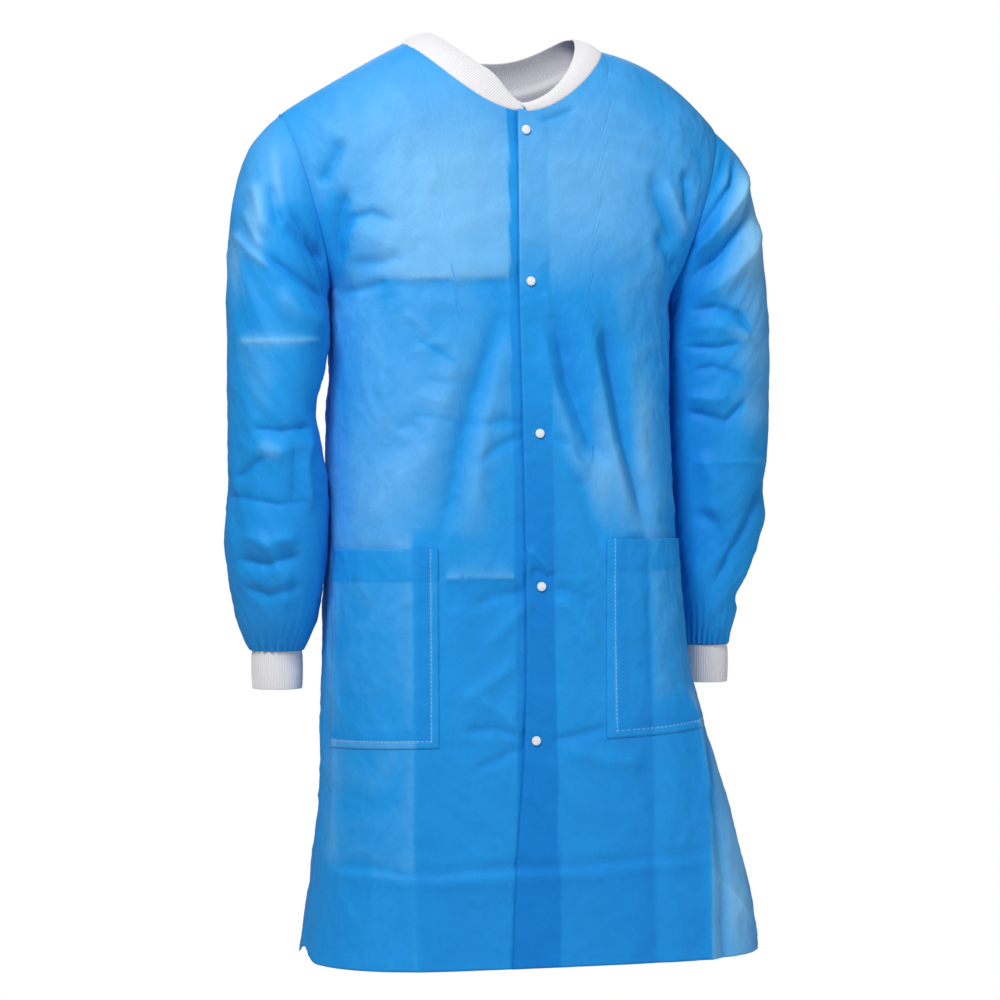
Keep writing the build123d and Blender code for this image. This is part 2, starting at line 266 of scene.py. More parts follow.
@dataclass(frozen=True)
class ClothFinish:
    """Non-woven coat cloth: colours, among them a painted highlight and painted shade, roughness and the sizes of its
    surface patterns.
    """

    name: str = "coat_cloth"
    single: tuple[float, float, float] = (0.012, 0.295, 0.750)
    # Deepest colour: double cloth, and also the painted shade in armpits, valleys and low down.
    double_and_shade: tuple[float, float, float] = (0.003, 0.205, 0.640)
    # Palest colour: the painted highlight on the chest, shoulders and ridges.
    pale_highlight: tuple[float, float, float] = (0.225, 0.550, 0.880)
    roughness: float = 0.56
    sheen: float = 0.015

    @cached_property
    def material(self) -> bpy.types.Material:
        """The cloth material: double layers and painted shade deepen the colour, painted highlights pale it, fibres
        streak it, and dots and creases lift it.
        """
        material = bpy.data.materials.new(self.name)
        material.use_nodes = True
        tree = material.node_tree
        nodes, links = tree.nodes, tree.links
        nodes.clear()

        frames = {}
        for title, x in (("cloth run", -1900), ("colour by layers", -900), ("fibres and mottle", -1400),
                         ("embossing and creases", -1000), ("surface", 0)):
            frames[title] = nodes.new("NodeFrame")
            frames[title].label = title
            frames[title].location = (x, 300)

        run = nodes.new("ShaderNodeUVMap")
        run.label, run.uv_map, run.location = "lengths along the cloth", "cloth", (-1900, 0)
        stretch = nodes.new("ShaderNodeMapping")
        stretch.label, stretch.location = "fibres lie along the length", (-1700, 0)
        stretch.inputs["Scale"].default_value = (1.0, 0.35, 1.0)
        links.new(run.outputs["UV"], stretch.inputs["Vector"])

        # The attribute read here carries cloth layers together with painted light and shade.
        layers_and_shade = nodes.new("ShaderNodeAttribute")
        layers_and_shade.label, layers_and_shade.attribute_name, layers_and_shade.location = "how many layers", "layers_and_shade", (-1500, 500)
        ramp = nodes.new("ShaderNodeValToRGB")
        ramp.label, ramp.location = "painted_highlight, single and double cloth", (-1250, 500)
        shift = nodes.new("ShaderNodeMapRange")
        shift.label, shift.location = "layers to ramp", (-1400, 700)
        shift.inputs["From Min"].default_value = -1.0
        shift.inputs["From Max"].default_value = 1.0
        links.new(layers_and_shade.outputs["Fac"], shift.inputs["Value"])
        links.new(shift.outputs["Result"], ramp.inputs["Fac"])
        # The ramp runs from the painted highlight through single cloth to double cloth and painted shade.
        ramp.color_ramp.elements[0].position = 0.0
        ramp.color_ramp.elements[0].color = (*self.pale_highlight, 1.0)
        ramp.color_ramp.elements[1].position = 1.0
        ramp.color_ramp.elements[1].color = (*self.double_and_shade, 1.0)
        middle = ramp.color_ramp.elements.new(0.5)
        middle.color = (*self.single, 1.0)

        fibres = nodes.new("ShaderNodeTexNoise")
        fibres.label, fibres.location = "fibre streaks", (-1400, 100)
        fibres.inputs["Scale"].default_value = 620.0
        fibres.inputs["Detail"].default_value = 5.0
        fibres.inputs["Roughness"].default_value = 0.7
        links.new(stretch.outputs["Vector"], fibres.inputs["Vector"])
        mottle = nodes.new("ShaderNodeTexNoise")
        mottle.label, mottle.location = "uneven fibre weight", (-1400, -150)
        mottle.inputs["Scale"].default_value = 17.0
        mottle.inputs["Detail"].default_value = 6.0
        mottle.inputs["Roughness"].default_value = 0.62
        links.new(run.outputs["UV"], mottle.inputs["Vector"])
        fibre_light = nodes.new("ShaderNodeMapRange")
        fibre_light.label, fibre_light.location = "streak brightness", (-1150, 100)
        fibre_light.inputs["From Min"].default_value = 0.3
        fibre_light.inputs["From Max"].default_value = 0.7
        fibre_light.inputs["To Min"].default_value = 0.93
        fibre_light.inputs["To Max"].default_value = 1.07
        links.new(fibres.outputs["Fac"], fibre_light.inputs["Value"])
        mottle_light = nodes.new("ShaderNodeMapRange")
        mottle_light.label, mottle_light.location = "mottle brightness", (-1150, -150)
        mottle_light.inputs["From Min"].default_value = 0.3
        mottle_light.inputs["From Max"].default_value = 0.7
        mottle_light.inputs["To Min"].default_value = 0.955
        mottle_light.inputs["To Max"].default_value = 1.045
        links.new(mottle.outputs["Fac"], mottle_light.inputs["Value"])
        both = nodes.new("ShaderNodeMath")
        both.label, both.operation, both.location = "streaks on mottle", "MULTIPLY", (-950, 0)
        links.new(fibre_light.outputs["Result"], both.inputs[0])
        links.new(mottle_light.outputs["Result"], both.inputs[1])
        tint = nodes.new("ShaderNodeVectorMath")
        tint.label, tint.operation, tint.location = "cloth colour", "SCALE", (-700, 400)
        links.new(ramp.outputs["Color"], tint.inputs[0])
        links.new(both.outputs["Value"], tint.inputs["Scale"])

        dots = nodes.new("ShaderNodeTexVoronoi")
        dots.label, dots.location = "bonded dots", (-1000, -450)
        dots.inputs["Scale"].default_value = 700.0
        dots.inputs["Randomness"].default_value = 0.35
        links.new(run.outputs["UV"], dots.inputs["Vector"])
        wrinkle = nodes.new("ShaderNodeTexNoise")
        wrinkle.label, wrinkle.location = "fine crinkle", (-1000, -700)
        wrinkle.inputs["Scale"].default_value = 75.0
        wrinkle.inputs["Detail"].default_value = 7.0
        wrinkle.inputs["Roughness"].default_value = 0.6
        wrinkle.inputs["Distortion"].default_value = 0.6
        links.new(run.outputs["UV"], wrinkle.inputs["Vector"])
        dot_bump = nodes.new("ShaderNodeBump")
        dot_bump.label, dot_bump.location = "embossed dots", (-700, -450)
        dot_bump.inputs["Strength"].default_value = 0.35
        dot_bump.inputs["Distance"].default_value = 0.00012
        links.new(dots.outputs["Distance"], dot_bump.inputs["Height"])
        fibre_bump = nodes.new("ShaderNodeBump")
        fibre_bump.label, fibre_bump.location = "raised fibres", (-500, -450)
        fibre_bump.inputs["Strength"].default_value = 0.5
        fibre_bump.inputs["Distance"].default_value = 0.00015
        links.new(fibres.outputs["Fac"], fibre_bump.inputs["Height"])
        links.new(dot_bump.outputs["Normal"], fibre_bump.inputs["Normal"])
        crinkle_bump = nodes.new("ShaderNodeBump")
        crinkle_bump.label, crinkle_bump.location = "crinkled surface", (-300, -450)
        crinkle_bump.inputs["Strength"].default_value = 0.55
        crinkle_bump.inputs["Distance"].default_value = 0.0012
        links.new(wrinkle.outputs["Fac"], crinkle_bump.inputs["Height"])
        links.new(fibre_bump.outputs["Normal"], crinkle_bump.inputs["Normal"])
        rough = nodes.new("ShaderNodeMapRange")
        rough.label, rough.location = "roughness follows the mottle", (-700, 0)
        rough.inputs["To Min"].default_value = self.roughness - 0.08
        rough.inputs["To Max"].default_value = self.roughness + 0.10
        links.new(mottle.outputs["Fac"], rough.inputs["Value"])

        surface = nodes.new("ShaderNodeBsdfPrincipled")
        surface.label, surface.location = "non-woven cloth", (0, 0)
        surface.inputs["Sheen Weight"].default_value = self.sheen
        surface.inputs["Sheen Roughness"].default_value = 0.45
        surface.inputs["Specular IOR Level"].default_value = 0.16
        links.new(tint.outputs["Vector"], surface.inputs["Base Color"])
        links.new(rough.outputs["Result"], surface.inputs["Roughness"])
        links.new(crinkle_bump.outputs["Normal"], surface.inputs["Normal"])
        output = nodes.new("ShaderNodeOutputMaterial")
        output.label, output.location = "cloth out", (300, 0)
        links.new(surface.outputs["BSDF"], output.inputs["Surface"])

        for node, title in ((run, "cloth run"), (stretch, "cloth run"), (layers_and_shade, "colour by layers"),
                            (shift, "colour by layers"), (ramp, "colour by layers"), (tint, "colour by layers"),
                            (fibres, "fibres and mottle"), (mottle, "fibres and mottle"),
                            (fibre_light, "fibres and mottle"), (mottle_light, "fibres and mottle"),
                            (both, "fibres and mottle"), (dots, "embossing and creases"),
                            (wrinkle, "embossing and creases"), (dot_bump, "embossing and creases"),
                            (fibre_bump, "embossing and creases"), (crinkle_bump, "embossing and creases"),
                            (rough, "surface"), (surface, "surface"), (output, "surface")):
            node.parent = frames[title]
        return material


@dataclass(frozen=True)
class KnitFinish:
    """White ribbed knit of the collar and cuffs."""

    name: str = "knit"
    yarn: tuple[float, float, float] = (0.80, 0.785, 0.80)
    gap: tuple[float, float, float] = (0.66, 0.648, 0.68)
    stitch: float = 1900.0

    @cached_property
    def material(self) -> bpy.types.Material:
        """The knit material: rows of small stitches and fuzz between the modelled ribs."""
        material = bpy.data.materials.new(self.name)
        material.use_nodes = True
        tree = material.node_tree
        nodes, links = tree.nodes, tree.links
        nodes.clear()

        pattern = nodes.new("NodeFrame")
        pattern.label, pattern.location = "stitches", (-1200, 200)
        finish = nodes.new("NodeFrame")
        finish.label, finish.location = "surface", (-200, 200)

        run = nodes.new("ShaderNodeUVMap")
        run.label, run.uv_map, run.location = "lengths along the knit", "cloth", (-1300, 0)
        loops = nodes.new("ShaderNodeTexWave")
        loops.label, loops.location = "rows of stitches", (-1050, 150)
        loops.wave_type, loops.bands_direction = "BANDS", "Y"
        loops.inputs["Scale"].default_value = 190.0
        loops.inputs["Distortion"].default_value = 1.2
        loops.inputs["Detail"].default_value = 2.0
        links.new(run.outputs["UV"], loops.inputs["Vector"])
        fuzz = nodes.new("ShaderNodeTexNoise")
        fuzz.label, fuzz.location = "yarn fuzz", (-1050, -150)
        fuzz.inputs["Scale"].default_value = self.stitch
        fuzz.inputs["Detail"].default_value = 4.0
        links.new(run.outputs["UV"], fuzz.inputs["Vector"])
        colour = nodes.new("ShaderNodeValToRGB")
        colour.label, colour.location = "yarn and gaps", (-750, 150)
        colour.color_ramp.elements[0].color = (*self.gap, 1.0)
        colour.color_ramp.elements[0].position = 0.05
        colour.color_ramp.elements[1].color = (*self.yarn, 1.0)
        colour.color_ramp.elements[1].position = 0.45
        links.new(loops.outputs["Fac"], colour.inputs["Fac"])
        loop_bump = nodes.new("ShaderNodeBump")
        loop_bump.label, loop_bump.location = "raised loops", (-700, -150)
        loop_bump.inputs["Strength"].default_value = 0.3
        loop_bump.inputs["Distance"].default_value = 0.0002
        links.new(loops.outputs["Fac"], loop_bump.inputs["Height"])
        fuzz_bump = nodes.new("ShaderNodeBump")
        fuzz_bump.label, fuzz_bump.location = "fuzzy yarn", (-450, -150)
        fuzz_bump.inputs["Strength"].default_value = 0.25
        fuzz_bump.inputs["Distance"].default_value = 0.0001
        links.new(fuzz.outputs["Fac"], fuzz_bump.inputs["Height"])
        links.new(loop_bump.outputs["Normal"], fuzz_bump.inputs["Normal"])
        surface = nodes.new("ShaderNodeBsdfPrincipled")
        surface.label, surface.location = "ribbed knit", (-100, 0)
        surface.inputs["Roughness"].default_value = 0.85
        surface.inputs["Sheen Weight"].default_value = 0.35
        surface.inputs["Sheen Roughness"].default_value = 0.5
        surface.inputs["Specular IOR Level"].default_value = 0.25
        links.new(colour.outputs["Color"], surface.inputs["Base Color"])
        links.new(fuzz_bump.outputs["Normal"], surface.inputs["Normal"])
        output = nodes.new("ShaderNodeOutputMaterial")
        output.label, output.location = "knit out", (200, 0)
        links.new(surface.outputs["BSDF"], output.inputs["Surface"])
        for node in (run, loops, fuzz, colour, loop_bump, fuzz_bump):
            node.parent = pattern
        for node in (surface, output):
            node.parent = finish
        return material


@dataclass(frozen=True)
class MouldedFinish:
    """Smooth moulded plastic or spun thread: one colour with faint unevenness."""

    name: str
    colour: tuple[float, float, float]
    roughness: float
    grain: float
    bump: float
    darkest: float = 0.86

    @cached_property
    def material(self) -> bpy.types.Material:
        """The material: fine grain varies the colour and roughness and lifts the surface a little."""
        material = bpy.data.materials.new(self.name)
        material.use_nodes = True
        tree = material.node_tree
        nodes, links = tree.nodes, tree.links
        nodes.clear()

        grain_frame = nodes.new("NodeFrame")
        grain_frame.label, grain_frame.location = "grain", (-900, 200)
        place = nodes.new("ShaderNodeTexCoord")
        place.label, place.location = "place on the piece", (-1100, 0)
        grain = nodes.new("ShaderNodeTexNoise")
        grain.label, grain.location = "fine grain", (-900, 0)
        grain.inputs["Scale"].default_value = self.grain
        grain.inputs["Detail"].default_value = 4.0
        links.new(place.outputs["Object"], grain.inputs["Vector"])
        ramp = nodes.new("ShaderNodeValToRGB")
        ramp.label, ramp.location = "slight unevenness", (-650, 150)
        ramp.color_ramp.elements[0].position = 0.25
        ramp.color_ramp.elements[0].color = (*(self.darkest * c for c in self.colour), 1.0)
        ramp.color_ramp.elements[1].position = 0.75
        ramp.color_ramp.elements[1].color = (*self.colour, 1.0)
        links.new(grain.outputs["Fac"], ramp.inputs["Fac"])
        rough = nodes.new("ShaderNodeMapRange")
        rough.label, rough.location = "handled spots", (-650, -50)
        rough.inputs["To Min"].default_value = self.roughness * 0.8
        rough.inputs["To Max"].default_value = min(1.0, self.roughness * 1.25)
        links.new(grain.outputs["Fac"], rough.inputs["Value"])
        lift = nodes.new("ShaderNodeBump")
        lift.label, lift.location = "surface grain", (-400, -250)
        lift.inputs["Strength"].default_value = 0.4
        lift.inputs["Distance"].default_value = self.bump
        links.new(grain.outputs["Fac"], lift.inputs["Height"])
        for node in (place, grain, ramp, rough, lift):
            node.parent = grain_frame
        surface = nodes.new("ShaderNodeBsdfPrincipled")
        surface.label, surface.location = self.name, (0, 0)
        links.new(ramp.outputs["Color"], surface.inputs["Base Color"])
        links.new(rough.outputs["Result"], surface.inputs["Roughness"])
        links.new(lift.outputs["Normal"], surface.inputs["Normal"])
        output = nodes.new("ShaderNodeOutputMaterial")
        output.label, output.location = "out", (300, 0)
        links.new(surface.outputs["BSDF"], output.inputs["Surface"])
        return material


@dataclass(frozen=True)
class Wardrobe:
    """Every finish that the coat is dressed in."""

    cloth: ClothFinish = field(default_factory=ClothFinish)
    knit: KnitFinish = field(default_factory=KnitFinish)
    snap: MouldedFinish = MouldedFinish("snap_plastic", (0.86, 0.88, 0.90), 0.32, 900.0, 0.00005)
    thread: MouldedFinish = MouldedFinish("sewing_thread", (0.36, 0.62, 0.86), 0.7, 2500.0, 0.00008)


# ------------------------------------------------------------------ folds


# Painted shade per millimetre of fold height: valleys get painted shade, ridges a painted highlight; below, the
# narrowest band it is spread over, in mm.
SHADE_PER_MM = {FoldKind.SOFT: -0.055, FoldKind.SHARP: -0.110}
NARROWEST_SHADE = 4.0


@dataclass(frozen=True)
class FoldLine:
    """One fold in the cloth: a line seen from the front, in millimetres, with a height and a width."""

    points: tuple[tuple[float, float], ...]
    height: float
    width: float
    kind: FoldKind = FoldKind.SOFT
    fade: float = 0.25
    # Painted shade on the line where above 0, a painted highlight where below 0; None takes it from the height.
    tint: float | None = None

    def painted_shade(self) -> float:
        """Painted light on the line: as given, else painted shade in valleys and a painted highlight on ridges."""
        if self.tint is not None:
            return self.tint
        return SHADE_PER_MM.get(self.kind, 0.0) * self.height

    def lift(self, x: np.ndarray, z: np.ndarray) -> np.ndarray:
        """Height of the fold over points of the cloth.

        The nearest point of the line gives a distance d in widths; the height falls off as
        exp(-d^1.6), exp(-d), for a step as signed d times exp(0.5 - d^2 / 2), or for an edge as its
        sign times exp(-d), and fades to 0 over the first and last share of the line.

        Args:
            x: Sideways position in metres.
            z: Height in metres.

        Returns:
            Heights in metres.
        """
        line = np.array(self.points, float) * MM
        legs = np.diff(line, axis=0)
        spans = np.linalg.norm(legs, axis=1)
        before = np.concatenate([[0.0], np.cumsum(spans)[:-1]])
        best = np.full(x.shape, 1e9)
        along = np.zeros(x.shape)
        signed = np.zeros(x.shape)
        for start, leg, span, run in zip(line, legs, spans, before):
            dx, dz = x - start[0], z - start[1]
            t = np.clip((dx * leg[0] + dz * leg[1]) / span ** 2, 0.0, 1.0)
            distance = np.hypot(dx - t * leg[0], dz - t * leg[1])
            nearer = distance < best
            best = np.where(nearer, distance, best)
            along = np.where(nearer, (run + t * span) / spans.sum(), along)
            signed = np.where(nearer, np.sign(dx * leg[1] - dz * leg[0]) * distance, signed)
        d = best / (self.width * MM)
        if self.kind is FoldKind.SOFT:
            shape = np.exp(-d ** 1.6)
        elif self.kind is FoldKind.SHARP:
            shape = np.exp(-d)
        elif self.kind is FoldKind.STEP:
            shape = signed / (self.width * MM) * np.exp(0.5 - d ** 2 / 2)
        else:
            shape = np.tanh(signed / (2.4 * MM)) * np.exp(-d)
        ends = smooth_step(along / self.fade) * smooth_step((1.0 - along) / self.fade)
        return self.height * MM * shape * ends


@dataclass(frozen=True)
class Drape:
    """All the folds of one part of the coat, and the crumple between them."""

    folds: tuple[FoldLine, ...]
    facet: float = 0.075
    facet_height: float = 0.0017
    seed: int = 3
    gain: float = 1.6
    # Painted highlight on raised crumple facets and painted shade on sunken ones.
    facet_shading: float = 0.10

    def lift(self, x: np.ndarray, z: np.ndarray, run: np.ndarray) -> np.ndarray:
        """Height of the cloth off its smooth form: every fold's height, and crumple over the cloth's run.

        Args:
            x: Sideways position in metres.
            z: Height in metres.
            run: Length across the cloth in metres.

        Returns:
            Heights in metres.
        """
        total = self.facet_height * crumple(run, z, self.facet, self.seed)
        total = total + 0.45 * self.facet_height * crumple(run, z, self.facet * 0.38, self.seed + 40)
        for fold in self.folds:
            total = total + self.gain * fold.lift(x, z)
        return total

    def tint(self, x: np.ndarray, z: np.ndarray, run: np.ndarray) -> np.ndarray:
        """Painted light and shade on the cloth.

        The sum of each fold's painted shade and highlight, spread over its width or over a narrow line where it is
        sharp, and of painted highlights on facets where the crumple stands up and painted shade where it sinks.

        Args:
            x: Sideways position in metres.
            z: Height in metres.
            run: Length across the cloth in metres.

        Returns:
            Changes: a painted highlight below 0, painted shade above 0.
        """
        total = -self.facet_shading * crumple(run, z, self.facet, self.seed)
        for fold in self.folds:
            strength = fold.painted_shade()
            if strength:
                width = max(fold.width, NARROWEST_SHADE) if fold.kind is FoldKind.SOFT else NARROWEST_SHADE
                total = total + strength * replace(fold, height=1.0, width=width).lift(x, z) / MM
        return total


@dataclass(frozen=True)
class ShadeSpot:
    """A soft-edged patch of painted light: a painted highlight where below 0, painted shade where above 0."""

    x: float
    z: float
    wide: float
    tall: float
    strength: float

    def at(self, x: np.ndarray, z: np.ndarray) -> np.ndarray:
        """Strength that falls off as a bell over the patch."""
        return self.strength * np.exp(-((x / MM - self.x) / self.wide) ** 2 - ((z / MM - self.z) / self.tall) ** 2)


# Painted highlights on the chest and shoulders, painted shade low down, in the armpits, on the flare and beside
# folds.
BODY_SHADE_SPOTS = (
    ShadeSpot(-105, -170, 120, 120, -0.66), ShadeSpot(95, -160, 120, 130, -0.42),
    ShadeSpot(-110, -400, 90, 120, -0.22), ShadeSpot(-170, -530, 60, 80, -0.28),
    ShadeSpot(120, -520, 60, 80, -0.25), ShadeSpot(262, -960, 40, 110, -0.25),
    ShadeSpot(0, -1000, 400, 200, 0.18), ShadeSpot(60, -600, 60, 120, 0.20),
    ShadeSpot(60, -350, 34, 60, 0.50), ShadeSpot(104, -380, 12, 70, 0.35), ShadeSpot(150, -470, 14, 90, -0.40),
    ShadeSpot(90, -500, 16, 60, -0.35), ShadeSpot(226, -850, 8, 70, 0.70), ShadeSpot(262, -1010, 22, 60, -0.35),
    ShadeSpot(-212, -226, 20, 42, 0.45), ShadeSpot(206, -262, 14, 30, 0.35),
    ShadeSpot(20, -560, 26, 90, 0.20), ShadeSpot(-60, -680, 50, 60, 0.12),
)
# Painted shade on the sleeves' inner sides and by the armpits, painted highlights along their tops.
SLEEVE_SHADE_SPOTS = (
    ShadeSpot(-282, -150, 40, 80, -0.22), ShadeSpot(296, -190, 30, 70, -0.85),
    ShadeSpot(-270, -560, 90, 140, 0.25), ShadeSpot(280, -560, 90, 140, 0.20),
    ShadeSpot(-240, -240, 28, 30, 0.55), ShadeSpot(-226, -320, 26, 60, 0.45),
    ShadeSpot(-236, -500, 24, 70, 0.40), ShadeSpot(-300, -215, 6, 38, -0.40),
    ShadeSpot(-320, -262, 5, 32, -0.40), ShadeSpot(-276, -175, 5, 34, -0.35),
    ShadeSpot(-262, -212, 20, 14, 0.35), ShadeSpot(-262, -276, 26, 12, 0.30),
    ShadeSpot(222, -270, 18, 60, 0.70), ShadeSpot(226, -400, 22, 90, 0.50),
    ShadeSpot(236, -230, 14, 40, 0.60), ShadeSpot(242, -500, 26, 90, 0.50),
    ShadeSpot(306, -330, 30, 110, -0.45), ShadeSpot(290, -425, 34, 24, -0.20),
    ShadeSpot(-300, -400, 18, 50, -0.18), ShadeSpot(-288, -476, 14, 14, -0.25),
)
# Jumps of painted shade across the pressed lines, where the cloth on either side faces the light differently.
BODY_SHADE_EDGES = (
    FoldLine(((-172, -280), (-116, -278), (-60, -277), (-2, -275)), 0.26, 70, FoldKind.EDGE, 0.12),
    FoldLine(((-130, -560), (-130, -756), (-132, -944), (-128, -1100)), -0.20, 70, FoldKind.EDGE, 0.04),
    FoldLine(((147, -560), (151, -692), (151, -801), (148, -943), (148, -1100)), 0.26, 60, FoldKind.EDGE, 0.04),
    FoldLine(((198, -745), (214, -800), (221, -880), (219, -948), (215, -1120)), 0.50, 110, FoldKind.EDGE, 0.06),
    FoldLine(((-98, -622), (-54, -622), (-6, -621)), 0.22, 30, FoldKind.EDGE, 0.1),
    FoldLine(((-222, -953), (-104, -957), (-8, -952), (100, -951), (219, -946)), 0.16, 40, FoldKind.EDGE, 0.03),
)


def painted_shading(spots: tuple[ShadeSpot, ...], x: np.ndarray, z: np.ndarray) -> np.ndarray:
    """Sum of all the patches of painted light and shade at each point."""
    return sum(spot.at(x, z) for spot in spots)


def body_painted_shading(x: np.ndarray, z: np.ndarray) -> np.ndarray:
    """Painted light and shade over the body: the patches, and the jumps of painted shade along the pressed lines."""
    return painted_shading(BODY_SHADE_SPOTS, x, z) + sum(edge.lift(x, z) for edge in BODY_SHADE_EDGES) / MM


SOFT, SHARP, STEP = FoldKind.SOFT, FoldKind.SHARP, FoldKind.STEP

FRONT_FOLDS = (
    # folds that run from the right armpit across the chest
    FoldLine(((-202, -118), (-215, -151), (-230, -178)), -4.0, 9),
    FoldLine(((-196, -170), (-205, -208), (-208, -232), (-204, -275)), -5.0, 8),
    FoldLine(((-207, -238), (-192, -211), (-171, -205), (-140, -216)), -2.6, 5.5, SOFT, 0.25, 0.34),
    FoldLine(((-190, -222), (-170, -232), (-140, -249)), 1.4, 9),
    FoldLine(((-200, -296), (-169, -289), (-148, -281)), -2.2, 5),
    FoldLine(((-198, -262), (-160, -262), (-128, -252)), -2.5, 8),
    # folds that run from the left armpit
    FoldLine(((159, -142), (175, -187), (203, -243)), -4.5, 11),
    FoldLine(((166, -214), (184, -241), (205, -270)), -4.0, 9),
    FoldLine(((178, -150), (194, -195), (214, -232)), 3.5, 9),
    FoldLine(((206, -140), (208, -170), (211, -206)), -4.0, 6),
    # long folds that hang from the second snap
    FoldLine(((-6, -288), (-26, -331), (-55, -414), (-77, -486), (-92, -554), (-108, -600)), -4.5, 14, SOFT, 0.25, 0.20),
    FoldLine(((-10, -320), (-29, -383), (-46, -451), (-58, -519), (-70, -590)), 3.5, 13),
    FoldLine(((-60, -320), (-88, -400), (-118, -490), (-135, -560)), 3.0, 18, SOFT, 0.25, -0.12),
    FoldLine(((96, -300), (109, -376), (126, -465), (142, -518), (152, -580)), -6.5, 11),
    FoldLine(((74, -300), (88, -376), (104, -465), (120, -530), (130, -580)), 5.0, 12),
    FoldLine(((40, -310), (55, -396), (82, -466), (112, -500)), -5.0, 10),
    FoldLine(((22, -320), (34, -396), (60, -480), (84, -540)), 4.0, 11),
    FoldLine(((60, -490), (84, -560), (96, -600)), -3.0, 12),
    FoldLine(((29, -290), (34, -325)), 1.8, 5),
    FoldLine(((-126, -346), (-96, -363), (-68, -382)), -1.6, 5, SHARP, 0.3, 0.22),
    FoldLine(((-130, -366), (-100, -352), (-80, -356)), 1.4, 6),
    FoldLine(((-140, -318), (-118, -330), (-104, -348)), 1.5, 6),
    FoldLine(((-118, -392), (-96, -398), (-70, -398)), -1.4, 5),
    FoldLine(((-124, -408), (-104, -418), (-80, -424)), 1.5, 6),
    FoldLine(((-150, -452), (-128, -446), (-112, -462)), -1.4, 6),
    FoldLine(((-172, -340), (-160, -380), (-164, -420)), 1.6, 10),
    FoldLine(((-178, -560), (-150, -520), (-132, -470)), 1.8, 12),
    # tucks at the snaps
    FoldLine(((18, -97), (44, -89), (72, -77)), -2.4, 4, SHARP),
    FoldLine(((6, -454), (-30, -470), (-66, -500)), -2.4, 6),
    FoldLine(((6, -446), (-24, -440), (-50, -446)), -1.8, 5),
    FoldLine(((32, -456), (60, -470), (76, -490)), -2.0, 6),
    FoldLine(((3, -586), (12, -594), (24, -606), (31, -618)), 3.0, 7, SHARP, 0.15, -0.35),
    FoldLine(((5, -610), (18, -616), (30, -622)), -2.0, 5, SOFT, 0.2, 0.25),
    FoldLine(((6, -632), (-34, -640), (-70, -655)), -2.2, 6),
    FoldLine(((8, -640), (-20, -672), (-52, -704)), 2.2, 8),
    FoldLine(((30, -636), (66, -668), (88, -706)), 2.6, 10),
    FoldLine(((30, -630), (60, -640), (84, -650)), -2.0, 6),
    FoldLine(((0, -804), (-39, -789), (-82, -795)), -2.2, 5),
    FoldLine(((0, -808), (-34, -825), (-72, -840)), -2.2, 6),
    FoldLine(((-2, -802), (-30, -772), (-64, -752)), 2.0, 7),
    FoldLine(((20, -806), (61, -799), (102, -788)), -2.2, 5),
    FoldLine(((34, -812), (91, -827), (148, -834)), 2.6, 10),
    FoldLine(((18, -814), (40, -850), (66, -900)), 2.2, 12),
    FoldLine(((-85, -764), (-44, -740), (-8, -712)), 2.6, 8),
    # creases from being folded in its packet: across
    FoldLine(((-158, -279), (-116, -278), (-60, -277), (-3, -275)), 0.7, 4.5, SHARP, 0.3, -0.40),
    FoldLine(((-128, -283), (-100, -282), (-60, -281), (-3, -279)), -0.7, 4.5, SHARP, 0.3, 0.24),
    FoldLine(((-158, -279), (-116, -278), (-60, -277), (-3, -275)), -1.2, 10, STEP, 0.15),
    FoldLine(((-146, -441), (-118, -435), (-73, -443), (-10, -448)), -1.3, 4.5, SHARP, 0.25, 0.16),
    FoldLine(((-98, -619), (-54, -618), (-6, -619)), 1.5, 5, SHARP, 0.1, -0.40),
    FoldLine(((-98, -624), (-54, -623), (-6, -624)), -0.8, 4.5, SHARP, 0.1, 0.30),
    FoldLine(((34, -620), (64, -620), (94, -619)), 1.0, 5, SHARP, 0.2, -0.15),
    FoldLine(((-100, -657), (-42, -659)), 0.8, 4.5, SHARP, 0.25, -0.20),
    FoldLine(((-102, -799), (-45, -800), (-4, -802)), 0.9, 4.5, SHARP, 0.25, -0.20),
    FoldLine(((-222, -951), (-182, -949), (-135, -956), (-104, -956), (-8, -951), (38, -952),
              (100, -949), (143, -945), (219, -944)), 1.2, 7, STEP, 0.06),
    FoldLine(((-222, -947), (-182, -945), (-135, -952), (-104, -952), (-8, -947), (38, -948),
              (100, -945), (143, -941), (219, -940)), -0.7, 4.5, SHARP, 0.06, 0.28),
    FoldLine(((-120, -958), (-60, -955), (-8, -954), (38, -954), (76, -953)), 0.3, 6, SOFT, 0.3, -0.34),
    # and down
    FoldLine(((-130, -575), (-130, -756), (-130, -823), (-132, -944), (-128, -1095)),
             1.6, 12, SHARP, 0.06, -0.18),
    FoldLine(((147, -560), (151, -692), (151, -801), (148, -943), (148, -1095)), -1.6, 12, SHARP, 0.06, 0.20),
    FoldLine(((-204, -600), (-206, -760), (-206, -851), (-211, -960)), 1.2, 4.5, SHARP, 0.1, -0.25),
    # the left side folds back below the pocket, and the flare hangs behind it
    FoldLine(((196, -745), (214, -800), (221, -880), (219, -948), (215, -1100)), 4.5, 9, SHARP, 0.12),
    FoldLine(((226, -860), (236, -900), (240, -960), (238, -1100)), -4.0, 10, SOFT, 0.12),
    FoldLine(((224, -957), (254, -990), (288, -1030)), 2.0, 6, SHARP),
)

